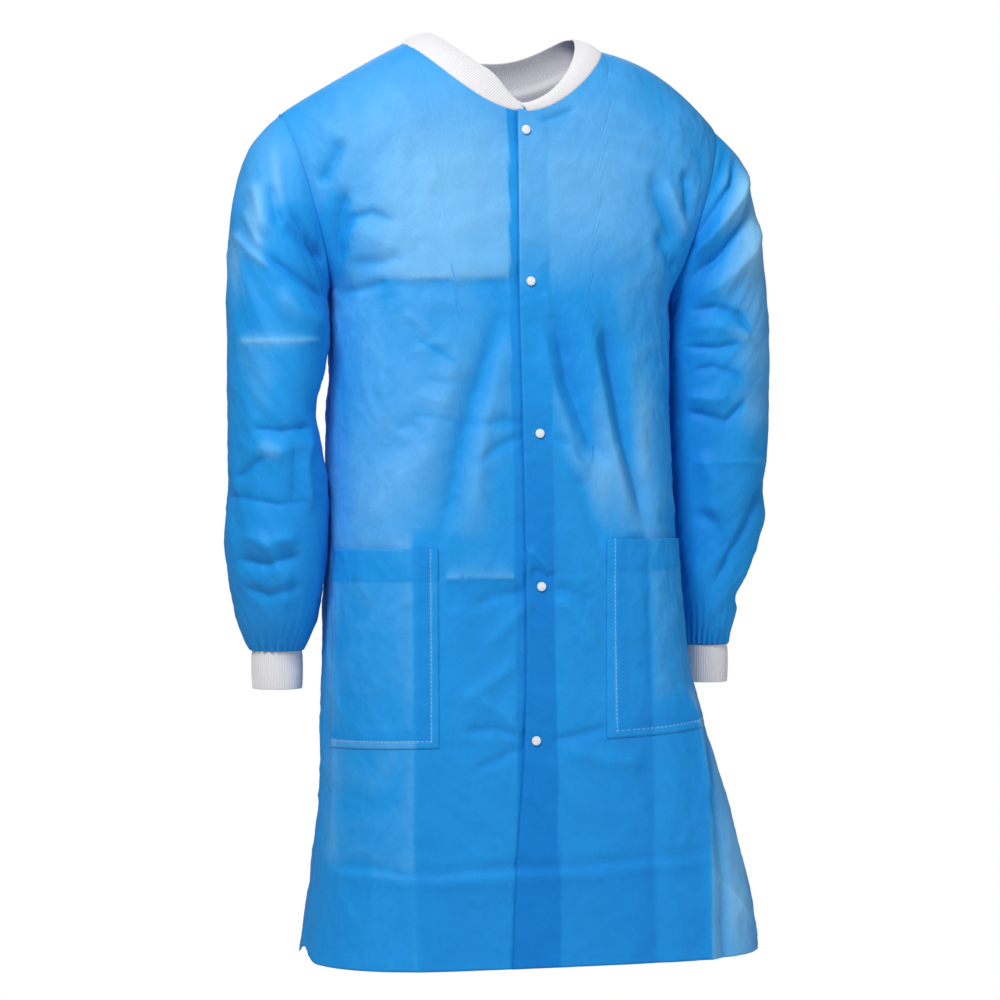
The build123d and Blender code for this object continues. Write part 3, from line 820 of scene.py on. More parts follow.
BACK_FOLDS = (
    FoldLine(((0, -70), (2, -400), (-2, -760), (0, -1075)), 2.4, 16, SHARP, 0.1),
    FoldLine(((-170, -277), (-60, -279), (60, -278), (170, -276)), 1.6, 5, SHARP, 0.1),
    FoldLine(((-180, -620), (-60, -621), (60, -620), (180, -621)), 1.6, 5, SHARP, 0.1),
    FoldLine(((-215, -948), (-60, -950), (60, -951), (240, -949)), 2.6, 9, STEP, 0.06),
    FoldLine(((-150, -700), (-140, -860), (-150, -1090)), -9.0, 30, SOFT, 0.35, 0.14),
    FoldLine(((-60, -640), (-70, -860), (-64, -1090)), 7.0, 34, SOFT, 0.35, -0.12),
    FoldLine(((90, -620), (104, -860), (110, -1090)), -9.0, 32, SOFT, 0.35, 0.14),
    FoldLine(((190, -640), (206, -860), (222, -1090)), 8.0, 30, SOFT, 0.35, -0.12),
    FoldLine(((-205, -275), (-150, -320), (-90, -380)), -4.0, 14),
    FoldLine(((205, -275), (150, -326), (84, -390)), -4.0, 14),
    FoldLine(((-214, -230), (-170, -214), (-120, -216)), -3.5, 12),
    FoldLine(((214, -230), (168, -212), (118, -218)), -3.5, 12),
    FoldLine(((-130, -70), (-90, -150), (-80, -260)), -3.0, 20),
    FoldLine(((130, -70), (92, -150), (76, -260)), -3.0, 20),
)

LEFT_SLEEVE_FOLDS = (
    FoldLine(((285, -116), (268, -158), (232, -206), (214, -230)), -5.0, 6, SOFT, 0.25, 0.60),
    FoldLine(((276, -128), (262, -160), (238, -196), (222, -216)), 3.0, 5, SOFT, 0.25, -0.30),
    FoldLine(((272, -106), (258, -140), (236, -176), (220, -200)), -3.0, 4.5, SOFT, 0.25, 0.50),
    FoldLine(((302, -130), (278, -176), (240, -226), (214, -252)), 6.0, 8),
    FoldLine(((310, -150), (286, -200), (248, -246), (214, -274)), -5.5, 6, SOFT, 0.25, 0.55),
    FoldLine(((318, -190), (292, -240), (250, -280), (220, -300)), 5.0, 12),
    FoldLine(((216, -308), (248, -304), (276, -314), (296, -338)), -3.0, 5, SOFT, 0.25, 0.55),
    FoldLine(((214, -330), (250, -326), (282, -336), (300, -356)), 2.6, 9),
    FoldLine(((216, -350), (248, -352), (282, -346)), -3.0, 4.5, SOFT, 0.25, 0.50),
    FoldLine(((222, -378), (246, -374), (270, -382), (284, -396)), -2.4, 4.5, SOFT, 0.25, 0.45),
    FoldLine(((214, -424), (240, -432), (262, -438), (292, -408)), -3.0, 5, SOFT, 0.25, 0.50),
    FoldLine(((216, -408), (244, -412), (268, -410)), 3.5, 9),
    FoldLine(((226, -488), (262, -486), (300, -486), (330, -484)), 1.6, 4, SHARP, 0.15),
    FoldLine(((324, -494), (310, -526), (292, -560), (268, -600), (250, -640)), -3.8, 6, SOFT, 0.25, 0.50),
    FoldLine(((330, -520), (316, -560), (300, -600), (286, -650)), 4.0, 10),
    FoldLine(((228, -540), (252, -560), (270, -600)), -3.5, 9),
    FoldLine(((312, -590), (300, -630), (292, -664)), -3.5, 7),
    FoldLine(((232, -470), (250, -510), (246, -560)), 3.5, 12),
)

RIGHT_SLEEVE_FOLDS = (
    FoldLine(((-300, -164), (-296, -200), (-292, -236)), 4.0, 9),
    FoldLine(((-284, -170), (-280, -200), (-274, -226)), -3.0, 7),
    FoldLine(((-276, -218), (-248, -238), (-214, -262)), -3.6, 7, SOFT, 0.25, 0.45),
    FoldLine(((-266, -196), (-244, -228), (-222, -262), (-212, -286)), -2.6, 4.5, SOFT, 0.25, 0.40),
    FoldLine(((-300, -252), (-284, -262), (-250, -284), (-212, -306)), -3.4, 5, SOFT, 0.25, 0.45),
    FoldLine(((-322, -222), (-306, -252), (-282, -272)), 2.6, 5, SOFT, 0.25, -0.30),
    FoldLine(((-312, -196), (-304, -226), (-294, -250)), 2.0, 4.5, SOFT, 0.25, -0.25),
    FoldLine(((-284, -296), (-250, -322), (-216, -338)), 4.0, 14),
    FoldLine(((-322, -351), (-290, -352), (-256, -351), (-222, -348)), 1.2, 4.5, SHARP, 0.1, -0.75),
    FoldLine(((-310, -450), (-276, -454), (-234, -447)), -3.6, 6, SHARP, 0.2, 0.55),
    FoldLine(((-312, -470), (-280, -476), (-240, -468)), 3.5, 12),
    FoldLine(((-322, -510), (-306, -494), (-290, -480)), -2.4, 4.5, SOFT, 0.25, 0.40),
    FoldLine(((-334, -524), (-280, -536), (-238, -532)), -2.8, 6, SHARP, 0.2, 0.45),
    FoldLine(((-262, -456), (-256, -500), (-260, -540)), -3.0, 8),
    FoldLine(((-236, -446), (-246, -496), (-238, -548)), 3.0, 8),
    FoldLine(((-320, -566), (-290, -580), (-250, -570)), 3.0, 9),
    FoldLine(((-324, -598), (-292, -604), (-246, -592)), -4.0, 7),
    FoldLine(((-314, -628), (-286, -640), (-244, -626)), -3.5, 7),
    FoldLine(((-300, -560), (-270, -620), (-262, -660)), 3.0, 8),
)


# ------------------------------------------------------------------ the coat's form


@dataclass(frozen=True)
class CoatForm:
    """The smooth form of the worn coat, which every cloth piece lies on. X and Z place a point and the
    form gives its Y: an ellipse-like section, rolled over the shoulder. Lengths are in metres."""

    half_width: Profile = Profile((
        (30, 290), (-111, 290), (-150, 280), (-200, 262), (-250, 232), (-292, 205), (-330, 204),
        (-456, 205), (-640, 212), (-740, 218), (-800, 228), (-900, 246), (-960, 258), (-1000, 265),
        (-1060, 274)))
    side_shift: Profile = Profile((
        (30, 0), (-292, 0), (-456, 0), (-640, 4), (-740, 9), (-800, 17), (-900, 32), (-960, 36),
        (-1000, 38), (-1060, 38)))
    back_depth: Profile = Profile((
        (30, 84), (0, 86), (-106, 104), (-279, 116), (-456, 106), (-630, 120), (-804, 138),
        (-1060, 165)))
    snap_line: Profile = Profile((
        (30, 8), (-106, 8), (-279, 11), (-456, 19), (-630, 18), (-804, 9), (-1060, 1)))
    left_edge: Profile = Profile((
        (30, -1), (-107, -1), (-302, -2), (-531, 0), (-645, 0), (-803, -4), (-848, -7), (-926, -14),
        (-1060, -22)))
    hem_z: float = -1.060
    hem_rise: tuple[float, float] = (0.050, 0.014)
    neck_x: float = 0.118
    v_bottom_z: float = -0.082
    back_neck_drop: float = 0.040
    neckline_curve: float = 1.8
    shoulder_rise: float = 0.022
    shoulder_bump: tuple[float, float] = (0.009, -0.006)
    shoulder_roll: float = 0.100
    tip: tuple[float, float] = (0.264, -0.087)
    armpit: tuple[float, float] = (0.205, -0.292)
    front_depth_top: float = 0.084
    front_lean: float = 0.0573
    snap_top_z: float = -0.106
    snap_pitch: float = 0.1745
    snap_count: int = 5
    lap_beyond_snap: float = 0.016
    lap_depth: float = 0.0030
    lap_depth_at_snap: float = 0.0065
    lap_fade: float = 0.090

    def shoulder_z(self, x: np.ndarray) -> np.ndarray:
        """Height of the shoulder line: a parabola, with a low bump between neck point and tip."""
        reach = np.clip((np.abs(x) - self.neck_x) / (self.tip[0] - self.neck_x), 0.0, 1.0)
        bump = np.where(x > 0, self.shoulder_bump[0], self.shoulder_bump[1])
        return self.shoulder_rise * (1 - (x / self.neck_x) ** 2) + bump * np.sin(np.pi * reach)

    def share_out(self, x: np.ndarray, z: np.ndarray) -> np.ndarray:
        """How far x is from the middle of the section, as a signed share of the half-width."""
        return np.clip((x - self.side_shift.at(z)) / self.half_width.at(z), -1.0, 1.0)

    def depth_share(self, x: np.ndarray, z: np.ndarray) -> np.ndarray:
        """Share of the full depth at a point: the section's, times what the shoulder's roll leaves."""
        off = self.share_out(x, z) ** 2
        section = np.sqrt(1 - off) * (1 + (0.3 + 0.2 * smooth_step(-z / 0.9)) * off)
        rise = np.clip((z - self.shoulder_z(x) + self.shoulder_roll) / self.shoulder_roll, 0.0, 1.0)
        return section * np.sqrt(1 - rise ** 2)

    def front_y(self, x: np.ndarray, z: np.ndarray) -> np.ndarray:
        """Y of the front's outer face: a depth that leans forward, times the share."""
        depth = self.front_depth_top + self.front_lean * (self.snap_top_z - z)
        return -depth * self.depth_share(x, z)

    def back_y(self, x: np.ndarray, z: np.ndarray) -> np.ndarray:
        """Y of the back's outer face."""
        return self.back_depth.at(z) * self.depth_share(x, z)

    def run_across(self, x: np.ndarray, z: np.ndarray) -> np.ndarray:
        """Length across the cloth from the middle of the section: the arc of a circle as wide as it."""
        return self.half_width.at(z) * np.arcsin(self.share_out(x, z))

    def armhole_x(self, z: np.ndarray) -> np.ndarray:
        """Distance of the armhole plane from the middle: a straight line from armpit to shoulder tip."""
        slope = (self.tip[0] - self.armpit[0]) / (self.tip[1] - self.armpit[1])
        return self.armpit[0] + slope * (z - self.armpit[1])

    def side_limit(self, z: np.ndarray, side: Side) -> np.ndarray:
        """X where a body panel ends: the armhole above the armpit and the side seam below it."""
        seam = self.side_shift.at(z) + side.value * self.half_width.at(z)
        return np.where(z > self.armpit[1], side.value * self.armhole_x(z), seam)

    def free_edge(self, z: np.ndarray, side: Side) -> np.ndarray:
        """X of a front's free edge; the right front reaches under the left one."""
        return self.left_edge.at(z) if side is Side.LEFT else self.snap_line.at(z) + self.lap_beyond_snap

    def neck_z(self, x: np.ndarray, side: Side) -> np.ndarray:
        """Height of the front neckline, bowed from the bottom of the V to a neck point."""
        start = float(self.snap_line.at(np.array([self.v_bottom_z]))[0])
        reach = np.clip(side.value * (x - start) / (self.neck_x - side.value * start), 0.0, 1.0)
        return self.v_bottom_z * (1 - reach ** self.neckline_curve)

    def back_neck_z(self, x: np.ndarray) -> np.ndarray:
        """Height of the back neckline."""
        return -self.back_neck_drop * (1 - np.clip(np.abs(x) / self.neck_x, 0, 1) ** 2.2)

    def snap_distance(self, x: np.ndarray, z: np.ndarray) -> np.ndarray:
        """Distance to the nearest snap, seen from the front."""
        nearest = np.full(x.shape, 9.0)
        for i in range(self.snap_count):
            snap_z = self.snap_top_z - i * self.snap_pitch
            snap_x = self.snap_line.at(np.array([snap_z]))[0]
            nearest = np.minimum(nearest, np.hypot(x - snap_x, z - snap_z))
        return nearest

    def lap(self, x: np.ndarray, z: np.ndarray, side: Side) -> np.ndarray:
        """Depth of a front behind the form: the right front passes under the left one, deeper at snaps."""
        if side is Side.LEFT:
            return np.zeros_like(x)
        inward = self.snap_line.at(z) - x
        at_snap = np.exp(-(self.snap_distance(x, z) / 0.024) ** 2)
        depth = self.lap_depth + (self.lap_depth_at_snap - self.lap_depth) * at_snap
        return depth * (1 - smooth_step((inward - 0.020) / self.lap_fade))

    def seam_distance(self, x: np.ndarray, z: np.ndarray) -> np.ndarray:
        """Length over the cloth to the nearest armhole or side seam."""
        to_side = self.half_width.at(z) * (np.pi / 2 - np.abs(np.arcsin(self.share_out(x, z))))
        to_armhole = np.abs(self.armhole_x(z) - np.abs(x)) * 0.96
        return np.where(z > self.armpit[1], np.minimum(to_armhole, 9.0), to_side)


@dataclass(frozen=True)
class BodyCloth:
    """The cloth over the body: the form, lifted by folds, quiet near seams and snaps."""

    form: CoatForm
    front: Drape
    back: Drape
    seam_groove: float = 0.0015
    quiet_at_seam: float = 0.014
    quiet_at_snap: tuple[float, float] = (0.0075, 0.020)

    def front_points(self, x: np.ndarray, z: np.ndarray, side: Side, out: np.ndarray) -> np.ndarray:
        """Points of a front, or of something that lies on or behind it.

        Each point of the form moves along its normal by the folds' height, faded to nothing near the
        seams and snaps, less a groove along the seams, plus out.

        Args:
            x: Grid of sideways positions.
            z: Grid of heights.
            side: Which front.
            out: Distance out from the front's face.

        Returns:
            The grid of points.
        """
        form = self.form
        base = np.stack([x, form.front_y(x, z), z], axis=-1)
        normal = grid_normals(base)
        normal *= -np.sign(normal[..., 1].mean())
        away = form.seam_distance(x, z)
        low, high = self.quiet_at_snap
        quiet = smooth_step((form.snap_distance(x, z) - low) / (high - low))
        quiet *= smooth_step(away / self.quiet_at_seam)
        quiet *= smooth_step((form.neck_z(x, side) - z) / 0.03 + (np.abs(x) > form.neck_x) * 1.0)
        quiet *= smooth_step((form.shoulder_z(x) - z) / 0.03)
        lift = self.front.lift(x, z, form.run_across(x, z)) * quiet
        lift = lift - self.seam_groove * np.exp(-away / 0.0035) - form.lap(x, z, side) + out
        return base + normal * lift[..., None]

    def back_points(self, x: np.ndarray, z: np.ndarray, out: np.ndarray) -> np.ndarray:
        """Points of the back: the form's back, lifted by its own folds as the front is."""
        form = self.form
        base = np.stack([x, form.back_y(x, z), z], axis=-1)
        normal = grid_normals(base)
        normal *= np.sign(normal[..., 1].mean())
        away = form.seam_distance(x, z)
        quiet = smooth_step(away / self.quiet_at_seam) * smooth_step((form.shoulder_z(x) - z) / 0.03)
        quiet *= smooth_step((form.back_neck_z(x) - z) / 0.03 + (np.abs(x) > form.neck_x) * 1.0)
        lift = self.back.lift(x, z, form.run_across(x, z)) * quiet
        lift = lift - self.seam_groove * np.exp(-away / 0.0035) + out
        return base + normal * lift[..., None]


def rows_up(form: CoatForm, hem: np.ndarray, top: np.ndarray, x_top: np.ndarray, rows: int) -> np.ndarray:
    """Heights of every column of a panel, evenly spaced over the cloth.

    A column climbs straight to the start of the shoulder's roll, then follows a quarter circle as far
    as its top edge; equal steps of that length give the heights.

    Args:
        form: The coat's form.
        hem: Height of each column's foot.
        top: Height of each column's top.
        x_top: Sideways position of each column's top.
        rows: Number of rows.

    Returns:
        Heights, rows by columns.
    """
    start = form.shoulder_z(x_top) - form.shoulder_roll
    angle_top = np.arcsin(np.clip((top - start) / form.shoulder_roll, 0.0, 1.0))
    straight = np.where(angle_top > 0, start - hem, top - hem)
    step = np.linspace(0.0, 1.0, rows)[:, None] * (straight + form.shoulder_roll * angle_top)
    angle = np.maximum(step - straight, 0.0) / form.shoulder_roll
    return hem + np.minimum(step, straight) + form.shoulder_roll * np.sin(angle)


def new_blend(piece: bpy.types.Object, form: CoatForm) -> None:
    """Bakes a piece's placement into its mesh."""
    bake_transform(piece)


# ------------------------------------------------------------------ body panels


@dataclass(frozen=True)
class FrontPanel:
    """One front of the coat, from its free edge to the side seam and armhole, with its facing."""

    side: Side
    cloth: BodyCloth
    wardrobe: Wardrobe
    rows: int = 340
    columns: int = 118
    thickness: float = 0.0006
    facing_gap: float = 0.0009
    facing_edge_x: tuple[float, float] = (0.034, -0.012)
    flat: tuple[float, float] = (0.41, 1.12)

    def grid(self, across: np.ndarray) -> tuple[np.ndarray, np.ndarray]:
        """Grid of positions over the front.

        x goes from the free edge to the side limit as the sine of a quarter turn, so that columns stay
        even over the rounded side; the top of each column is found by repeating x at its own height.

        Args:
            across: Rising shares, 0 at the free edge and 1 at the side.

        Returns:
            x and z, rows by columns.
        """
        form, side = self.cloth.form, self.side
        share = np.sin(across * np.pi / 2)

        def x_at(z: np.ndarray) -> np.ndarray:
            """x of each column at height z."""
            edge = form.free_edge(z, side)
            return edge + (form.side_limit(z, side) - edge) * share

        top = np.full(across.shape, -0.1)
        for _ in range(40):
            x = x_at(top)
            goal = np.where(np.abs(x) > form.neck_x, form.shoulder_z(x), form.neck_z(x, side))
            top = top + 0.6 * (goal - top)
        rise = form.hem_rise[0] if side is Side.LEFT else form.hem_rise[1]
        hem = form.hem_z + rise * smooth_step((across - 0.80) / 0.20) ** 2
        z = rows_up(form, hem, top, x_at(top), self.rows)
        return x_at(z), z

    def layers_and_shade(self, x: np.ndarray, z: np.ndarray) -> np.ndarray:
        """Cloth layers and painted light: double over the facing strip, plus the painted highlights and shade of the
        patches and folds.
        """
        inner = self.facing_edge_x[0] if self.side is Side.LEFT else self.facing_edge_x[1]
        # On the right front the strip is also a painted shadow along the edge that the left front overlaps; on the
        # left front it deepens towards the bottom.
        strip = smooth_step((self.side.value * (inner - x)) / 0.0015 + 0.5)
        depth = 0.10 + 0.70 * smooth_step((-z - 0.15) / 0.60) if self.side is Side.LEFT else 0.60
        tint = self.cloth.front.tint(x, z, self.cloth.form.run_across(x, z))
        return depth * strip + body_painted_shading(x, z) + tint

    def build(self) -> list[bpy.types.Object]:
        """Makes the front and its facing."""
        side, form = self.side, self.cloth.form
        x, z = self.grid(np.linspace(0.0, 1.0, self.columns))
        points = self.cloth.front_points(x, z, side, np.zeros_like(x))
        away = np.zeros_like(points)
        away[..., 1] = -1.0
        front = SheetMesh(f"{side.word}_front_cloth", points, layers_and_shade=self.layers_and_shade(x, z)).build(away)
        thicken(front, self.thickness)
        front.data.materials.append(self.wardrobe.cloth.material)
        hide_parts(f"{side.word}_front", f"{side.word}_front_side")
        new_blend(front, form)

        edge = form.free_edge(z[:, :1], side)
        inner = self.facing_edge_x[0] if side is Side.LEFT else self.facing_edge_x[1]
        reach = np.linspace(0.0, 1.0, 17)[None, :]
        rows = np.minimum(z[:, :1], form.v_bottom_z - 0.001)
        fx = edge + (inner - edge) * reach
        fz = np.repeat(rows + np.linspace(0, 1e-5, len(rows))[:, None], 17, axis=1)
        depth = np.full_like(fx, -self.thickness - self.facing_gap)
        facing_points = self.cloth.front_points(fx, fz, side, depth)
        facing = SheetMesh(f"{side.word}_facing_cloth", facing_points, layers_and_shade=np.ones_like(fx)).build(-away[:, :17])
        thicken(facing, self.thickness, 1.0)
        facing.data.materials.append(self.wardrobe.cloth.material)
        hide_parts(f"{side.word}_front_facing")
        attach(facing, side.flap)

        return [front, facing]


@dataclass(frozen=True)
class BackPanel:
    """The back in one piece, from side seam to side seam."""

    cloth: BodyCloth
    wardrobe: Wardrobe
    rows: int = 296
    columns: int = 157
    thickness: float = 0.0006
    flat: tuple[float, float] = (0.76, 1.14)

    def layers_and_shade(self, x: np.ndarray, z: np.ndarray) -> np.ndarray:
        """Painted light and shade: painted highlight high up, painted shade lower down, and the folds' painted shade
        and highlight.
        """
        tint = self.cloth.back.tint(x, z, self.cloth.form.run_across(x, z))
        return painted_shading(BODY_SHADE_SPOTS, x, z) + tint

    def build(self) -> list[bpy.types.Object]:
        """Makes the back: x goes from side to side as the sine of a half turn, tops as on the fronts."""
        form = self.cloth.form
        across = np.linspace(-1.0, 1.0, self.columns)
        share = np.sin(across * np.pi / 2)

        def x_at(z: np.ndarray) -> np.ndarray:
            """x of each column at height z."""
            left, right = form.side_limit(z, Side.LEFT), form.side_limit(z, Side.RIGHT)
            return (left + right) / 2 + (left - right) / 2 * share

        top = np.full(across.shape, -0.1)
        for _ in range(40):
            x = x_at(top)
            goal = np.where(np.abs(x) > form.neck_x, form.shoulder_z(x), form.back_neck_z(x))
            top = top + 0.6 * (goal - top)
        rise = np.where(across > 0, form.hem_rise[0], form.hem_rise[1])
        hem = form.hem_z + rise * smooth_step((np.abs(across) - 0.80) / 0.20) ** 2
        z = rows_up(form, hem, top, x_at(top), self.rows)
        x = x_at(z)
        points = self.cloth.back_points(x, z, np.zeros_like(x))
        away = np.zeros_like(points)
        away[..., 1] = 1.0
        back = SheetMesh("back_cloth", points, layers_and_shade=self.layers_and_shade(x, z)).build(away)
        thicken(back, self.thickness)
        back.data.materials.append(self.wardrobe.cloth.material)
        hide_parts("back_panel")
        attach(back, "torso")
        return [back]


# ------------------------------------------------------------------ pockets


@dataclass(frozen=True)
class StitchRow:
    """A row of short straight stitches, each a slim capsule half sunk into the cloth."""

    name: str
    centres: np.ndarray
    ahead: np.ndarray
    outward: np.ndarray
    length: float = 0.0030
    radius: float = 0.00042

    def build(self, material: bpy.types.Material) -> bpy.types.Object:
        """Makes all the stitches in one mesh: rings of six points whose radius follows a half sine."""
        rings, sides = 5, 6
        t = np.linspace(-1.0, 1.0, rings)[None, :, None, None]
        turn = np.linspace(0.0, 2 * np.pi, sides, endpoint=False)[None, None, :, None]
        axis = self.ahead[:, None, None, :]
        lift = self.outward[:, None, None, :]
        across = np.cross(self.ahead, self.outward)[:, None, None, :]
        bulge = self.radius * np.sqrt(1.05 - t ** 2)
        points = (self.centres[:, None, None, :] + axis * t * self.length / 2
                  + bulge * (np.cos(turn) * lift + np.sin(turn) * across))
        count = len(self.centres)
        number = np.arange(count * rings * sides).reshape(count, rings, sides)
        turned = np.roll(number, -1, axis=2)
        faces = np.stack([number[:, :-1], number[:, 1:], turned[:, 1:], turned[:, :-1]], -1).reshape(-1, 4)
        corner = points.reshape(-1, 3)[faces]
        normal = np.cross(corner[:, 2] - corner[:, 0], corner[:, 3] - corner[:, 1])
        centre = np.repeat(self.centres, (rings - 1) * sides, axis=0)
        if np.sum(normal * (corner.mean(axis=1) - centre)) < 0:
            faces = faces[:, ::-1]
            number = number[:, ::-1]
        caps = [tuple(c[::-1]) for c in number[:, 0]] + [tuple(c) for c in number[:, -1]]
        mesh = bpy.data.meshes.new(self.name)
        mesh.from_pydata(points.reshape(-1, 3).tolist(), [], [tuple(f) for f in faces.tolist()] + caps)
        mesh.polygons.foreach_set("use_smooth", np.ones(len(mesh.polygons), bool))
        mesh.update()
        piece = bpy.data.objects.new(self.name, mesh)
        bpy.context.scene.collection.objects.link(piece)
        piece.data.materials.append(material)
        return piece


@dataclass(frozen=True)
class Pocket:
    """A patch pocket stitched onto a front, open at the top under a folded band."""

    side: Side
    cloth: BodyCloth
    wardrobe: Wardrobe
    inner_x: tuple[float, float]
    top_z: float
    bottom_z: tuple[float, float]
    outer_share: float = 0.985
    width: float = 0.150
    band: float = 0.037
    gape: float = 0.005
    seam_in: float = 0.0085
    pitch: float = 0.0048
    rows: int = 84
    columns: int = 72

    def at(self, u: np.ndarray, v: np.ndarray) -> tuple[np.ndarray, np.ndarray]:
        """Position over the front: u runs from the inner to the outer edge and v from bottom to top."""
        form, s = self.cloth.form, self.side.value
        foot = self.bottom_z[0] + (self.bottom_z[1] - self.bottom_z[0]) * u
        z = foot + (self.top_z - foot) * v
        inner = s * (self.inner_x[0] + (self.inner_x[1] - self.inner_x[0]) * (1 - v))
        turn = np.arcsin(np.clip((inner - form.side_shift.at(z)) * s / form.half_width.at(z), -1, 1))
        far = np.arcsin(self.outer_share)
        x = form.side_shift.at(z) + s * form.half_width.at(z) * np.sin(turn + (far - turn) * u)
        return x, z

    def out(self, u: np.ndarray, v: np.ndarray) -> np.ndarray:
        """Distance of the pocket's face off the front: down at the stitched edges, gaping at the top."""
        height = self.top_z - self.bottom_z[0]
        from_edges = np.minimum(np.minimum(u, 1.0 - u) * self.width, v * height)
        stand = 0.0007 + 0.0013 * smooth_step(from_edges / 0.012)
        gape = self.gape * np.sin(np.pi * u) ** 1.5 * v ** 2.2
        band = 0.0006 * smooth_step((v * height - (height - self.band)) / 0.002)
        groove = -0.0006 * np.exp(-((from_edges - self.seam_in) / 0.0016) ** 2)
        return stand + gape + band + groove

    def seam_tone(self, u: np.ndarray, v: np.ndarray) -> np.ndarray:
        """Paler outside the stitches, palest on them, and deeper over the turned-in cloth inside them."""
        height = self.top_z - self.bottom_z[0]
        inside = np.minimum(u * self.width, v * height) - self.seam_in
        turned = smooth_step(inside / 0.001) * (1 - smooth_step((inside - 0.012) / 0.0015))
        return 0.16 * turned - 0.22 * (inside < 0) - 0.30 * np.exp(-(inside / 0.0012) ** 2)

    def build(self) -> list[bpy.types.Object]:
        """Makes the pocket and its stitches."""
        side, word = self.side, self.side.word
        u, v = np.meshgrid(np.linspace(0, 1, self.columns), np.linspace(0, 1, self.rows))
        x, z = self.at(u, v)
        points = self.cloth.front_points(x, z, side, self.out(u, v))
        away = np.zeros_like(points)
        away[..., 1] = -1.0
        height = self.top_z - self.bottom_z[0]
        band = smooth_step((v * height - (height - self.band)) / 0.002)
        # The folded band is double cloth; the body's spots and the folds' tints add painted light and shade.
        layers_and_shade = 0.08 + 0.24 * band + self.seam_tone(u, v) + body_painted_shading(x, z)
        layers_and_shade = layers_and_shade + self.cloth.front.tint(x, z, self.cloth.form.run_across(x, z))
        pocket = SheetMesh(f"{word}_pocket_cloth", points, layers_and_shade=layers_and_shade).build(away)
        thicken(pocket, 0.0005)
        pocket.data.materials.append(self.wardrobe.cloth.material)
        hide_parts(f"{word}_pocket")
        new_blend(pocket, self.cloth.form)
        stitches = self.stitch_row(f"{word}_pocket_stitches").build(self.wardrobe.thread.material)
        new_blend(stitches, self.cloth.form)
        return [pocket, stitches]

    def stitch_row(self, name: str) -> StitchRow:
        """Stitches down the inner edge and along the bottom."""
        height = self.top_z - self.bottom_z[0]
        width = self.width
        down = np.linspace(1.0, self.seam_in / height, int(height / self.pitch))
        along = np.linspace(self.seam_in / width, 0.99, int(width / self.pitch))
        u = np.concatenate([np.full_like(down, self.seam_in / width), along])
        v = np.concatenate([down, np.full_like(along, self.seam_in / height)])
        small = 0.004

        def place(du: float, dv: float) -> np.ndarray:
            """Points of the pocket's face beside every stitch."""
            uu, vv = np.clip(u + du, 0, 1), np.clip(v + dv, 0, 1)
            grid_u = np.stack([uu - small, uu, uu + small], axis=1)
            grid_v = np.repeat(vv[:, None], 3, axis=1)
            low, high = self.surface(grid_u, grid_v - small), self.surface(grid_u, grid_v + small)
            return (low[:, 1] + high[:, 1]) / 2

        centres = place(0.0, 0.0)
        tangent_u = place(small, 0.0) - place(-small, 0.0)
        tangent_v = place(0.0, small) - place(0.0, -small)
        outward = np.cross(tangent_u, tangent_v) * self.side.value
        outward /= np.linalg.norm(outward, axis=1, keepdims=True)
        outward *= -np.sign(outward[:, 1:2])
        ahead = np.concatenate([tangent_v[:len(down)], tangent_u[len(down):]])
        ahead -= outward * np.sum(ahead * outward, axis=1, keepdims=True)
        ahead /= np.linalg.norm(ahead, axis=1, keepdims=True)
        return StitchRow(name, centres + outward * 0.00015, ahead, outward)

    def surface(self, u: np.ndarray, v: np.ndarray) -> np.ndarray:
        """The pocket's face at single places, from the form and its folds without the grid's normals."""
        x, z = self.at(np.clip(u, 0, 1), np.clip(v, 0, 1))
        form, side, step = self.cloth.form, self.side, 0.0005
        slope_x = (form.front_y(x + step, z) - form.front_y(x - step, z)) / (2 * step)
        slope_z = (form.front_y(x, z + step) - form.front_y(x, z - step)) / (2 * step)
        normal = np.stack([slope_x, -np.ones_like(x), slope_z], axis=-1)
        normal /= np.linalg.norm(normal, axis=-1, keepdims=True)
        away = form.seam_distance(x, z)
        lift = self.cloth.front.lift(x, z, form.run_across(x, z)) * smooth_step(away / self.cloth.quiet_at_seam)
        lift = lift - self.cloth.seam_groove * np.exp(-away / 0.0035) - form.lap(x, z, side) + self.out(u, v)
        return np.stack([x, form.front_y(x, z), z], axis=-1) + normal * lift[..., None]


# ------------------------------------------------------------------ sleeves and cuffs


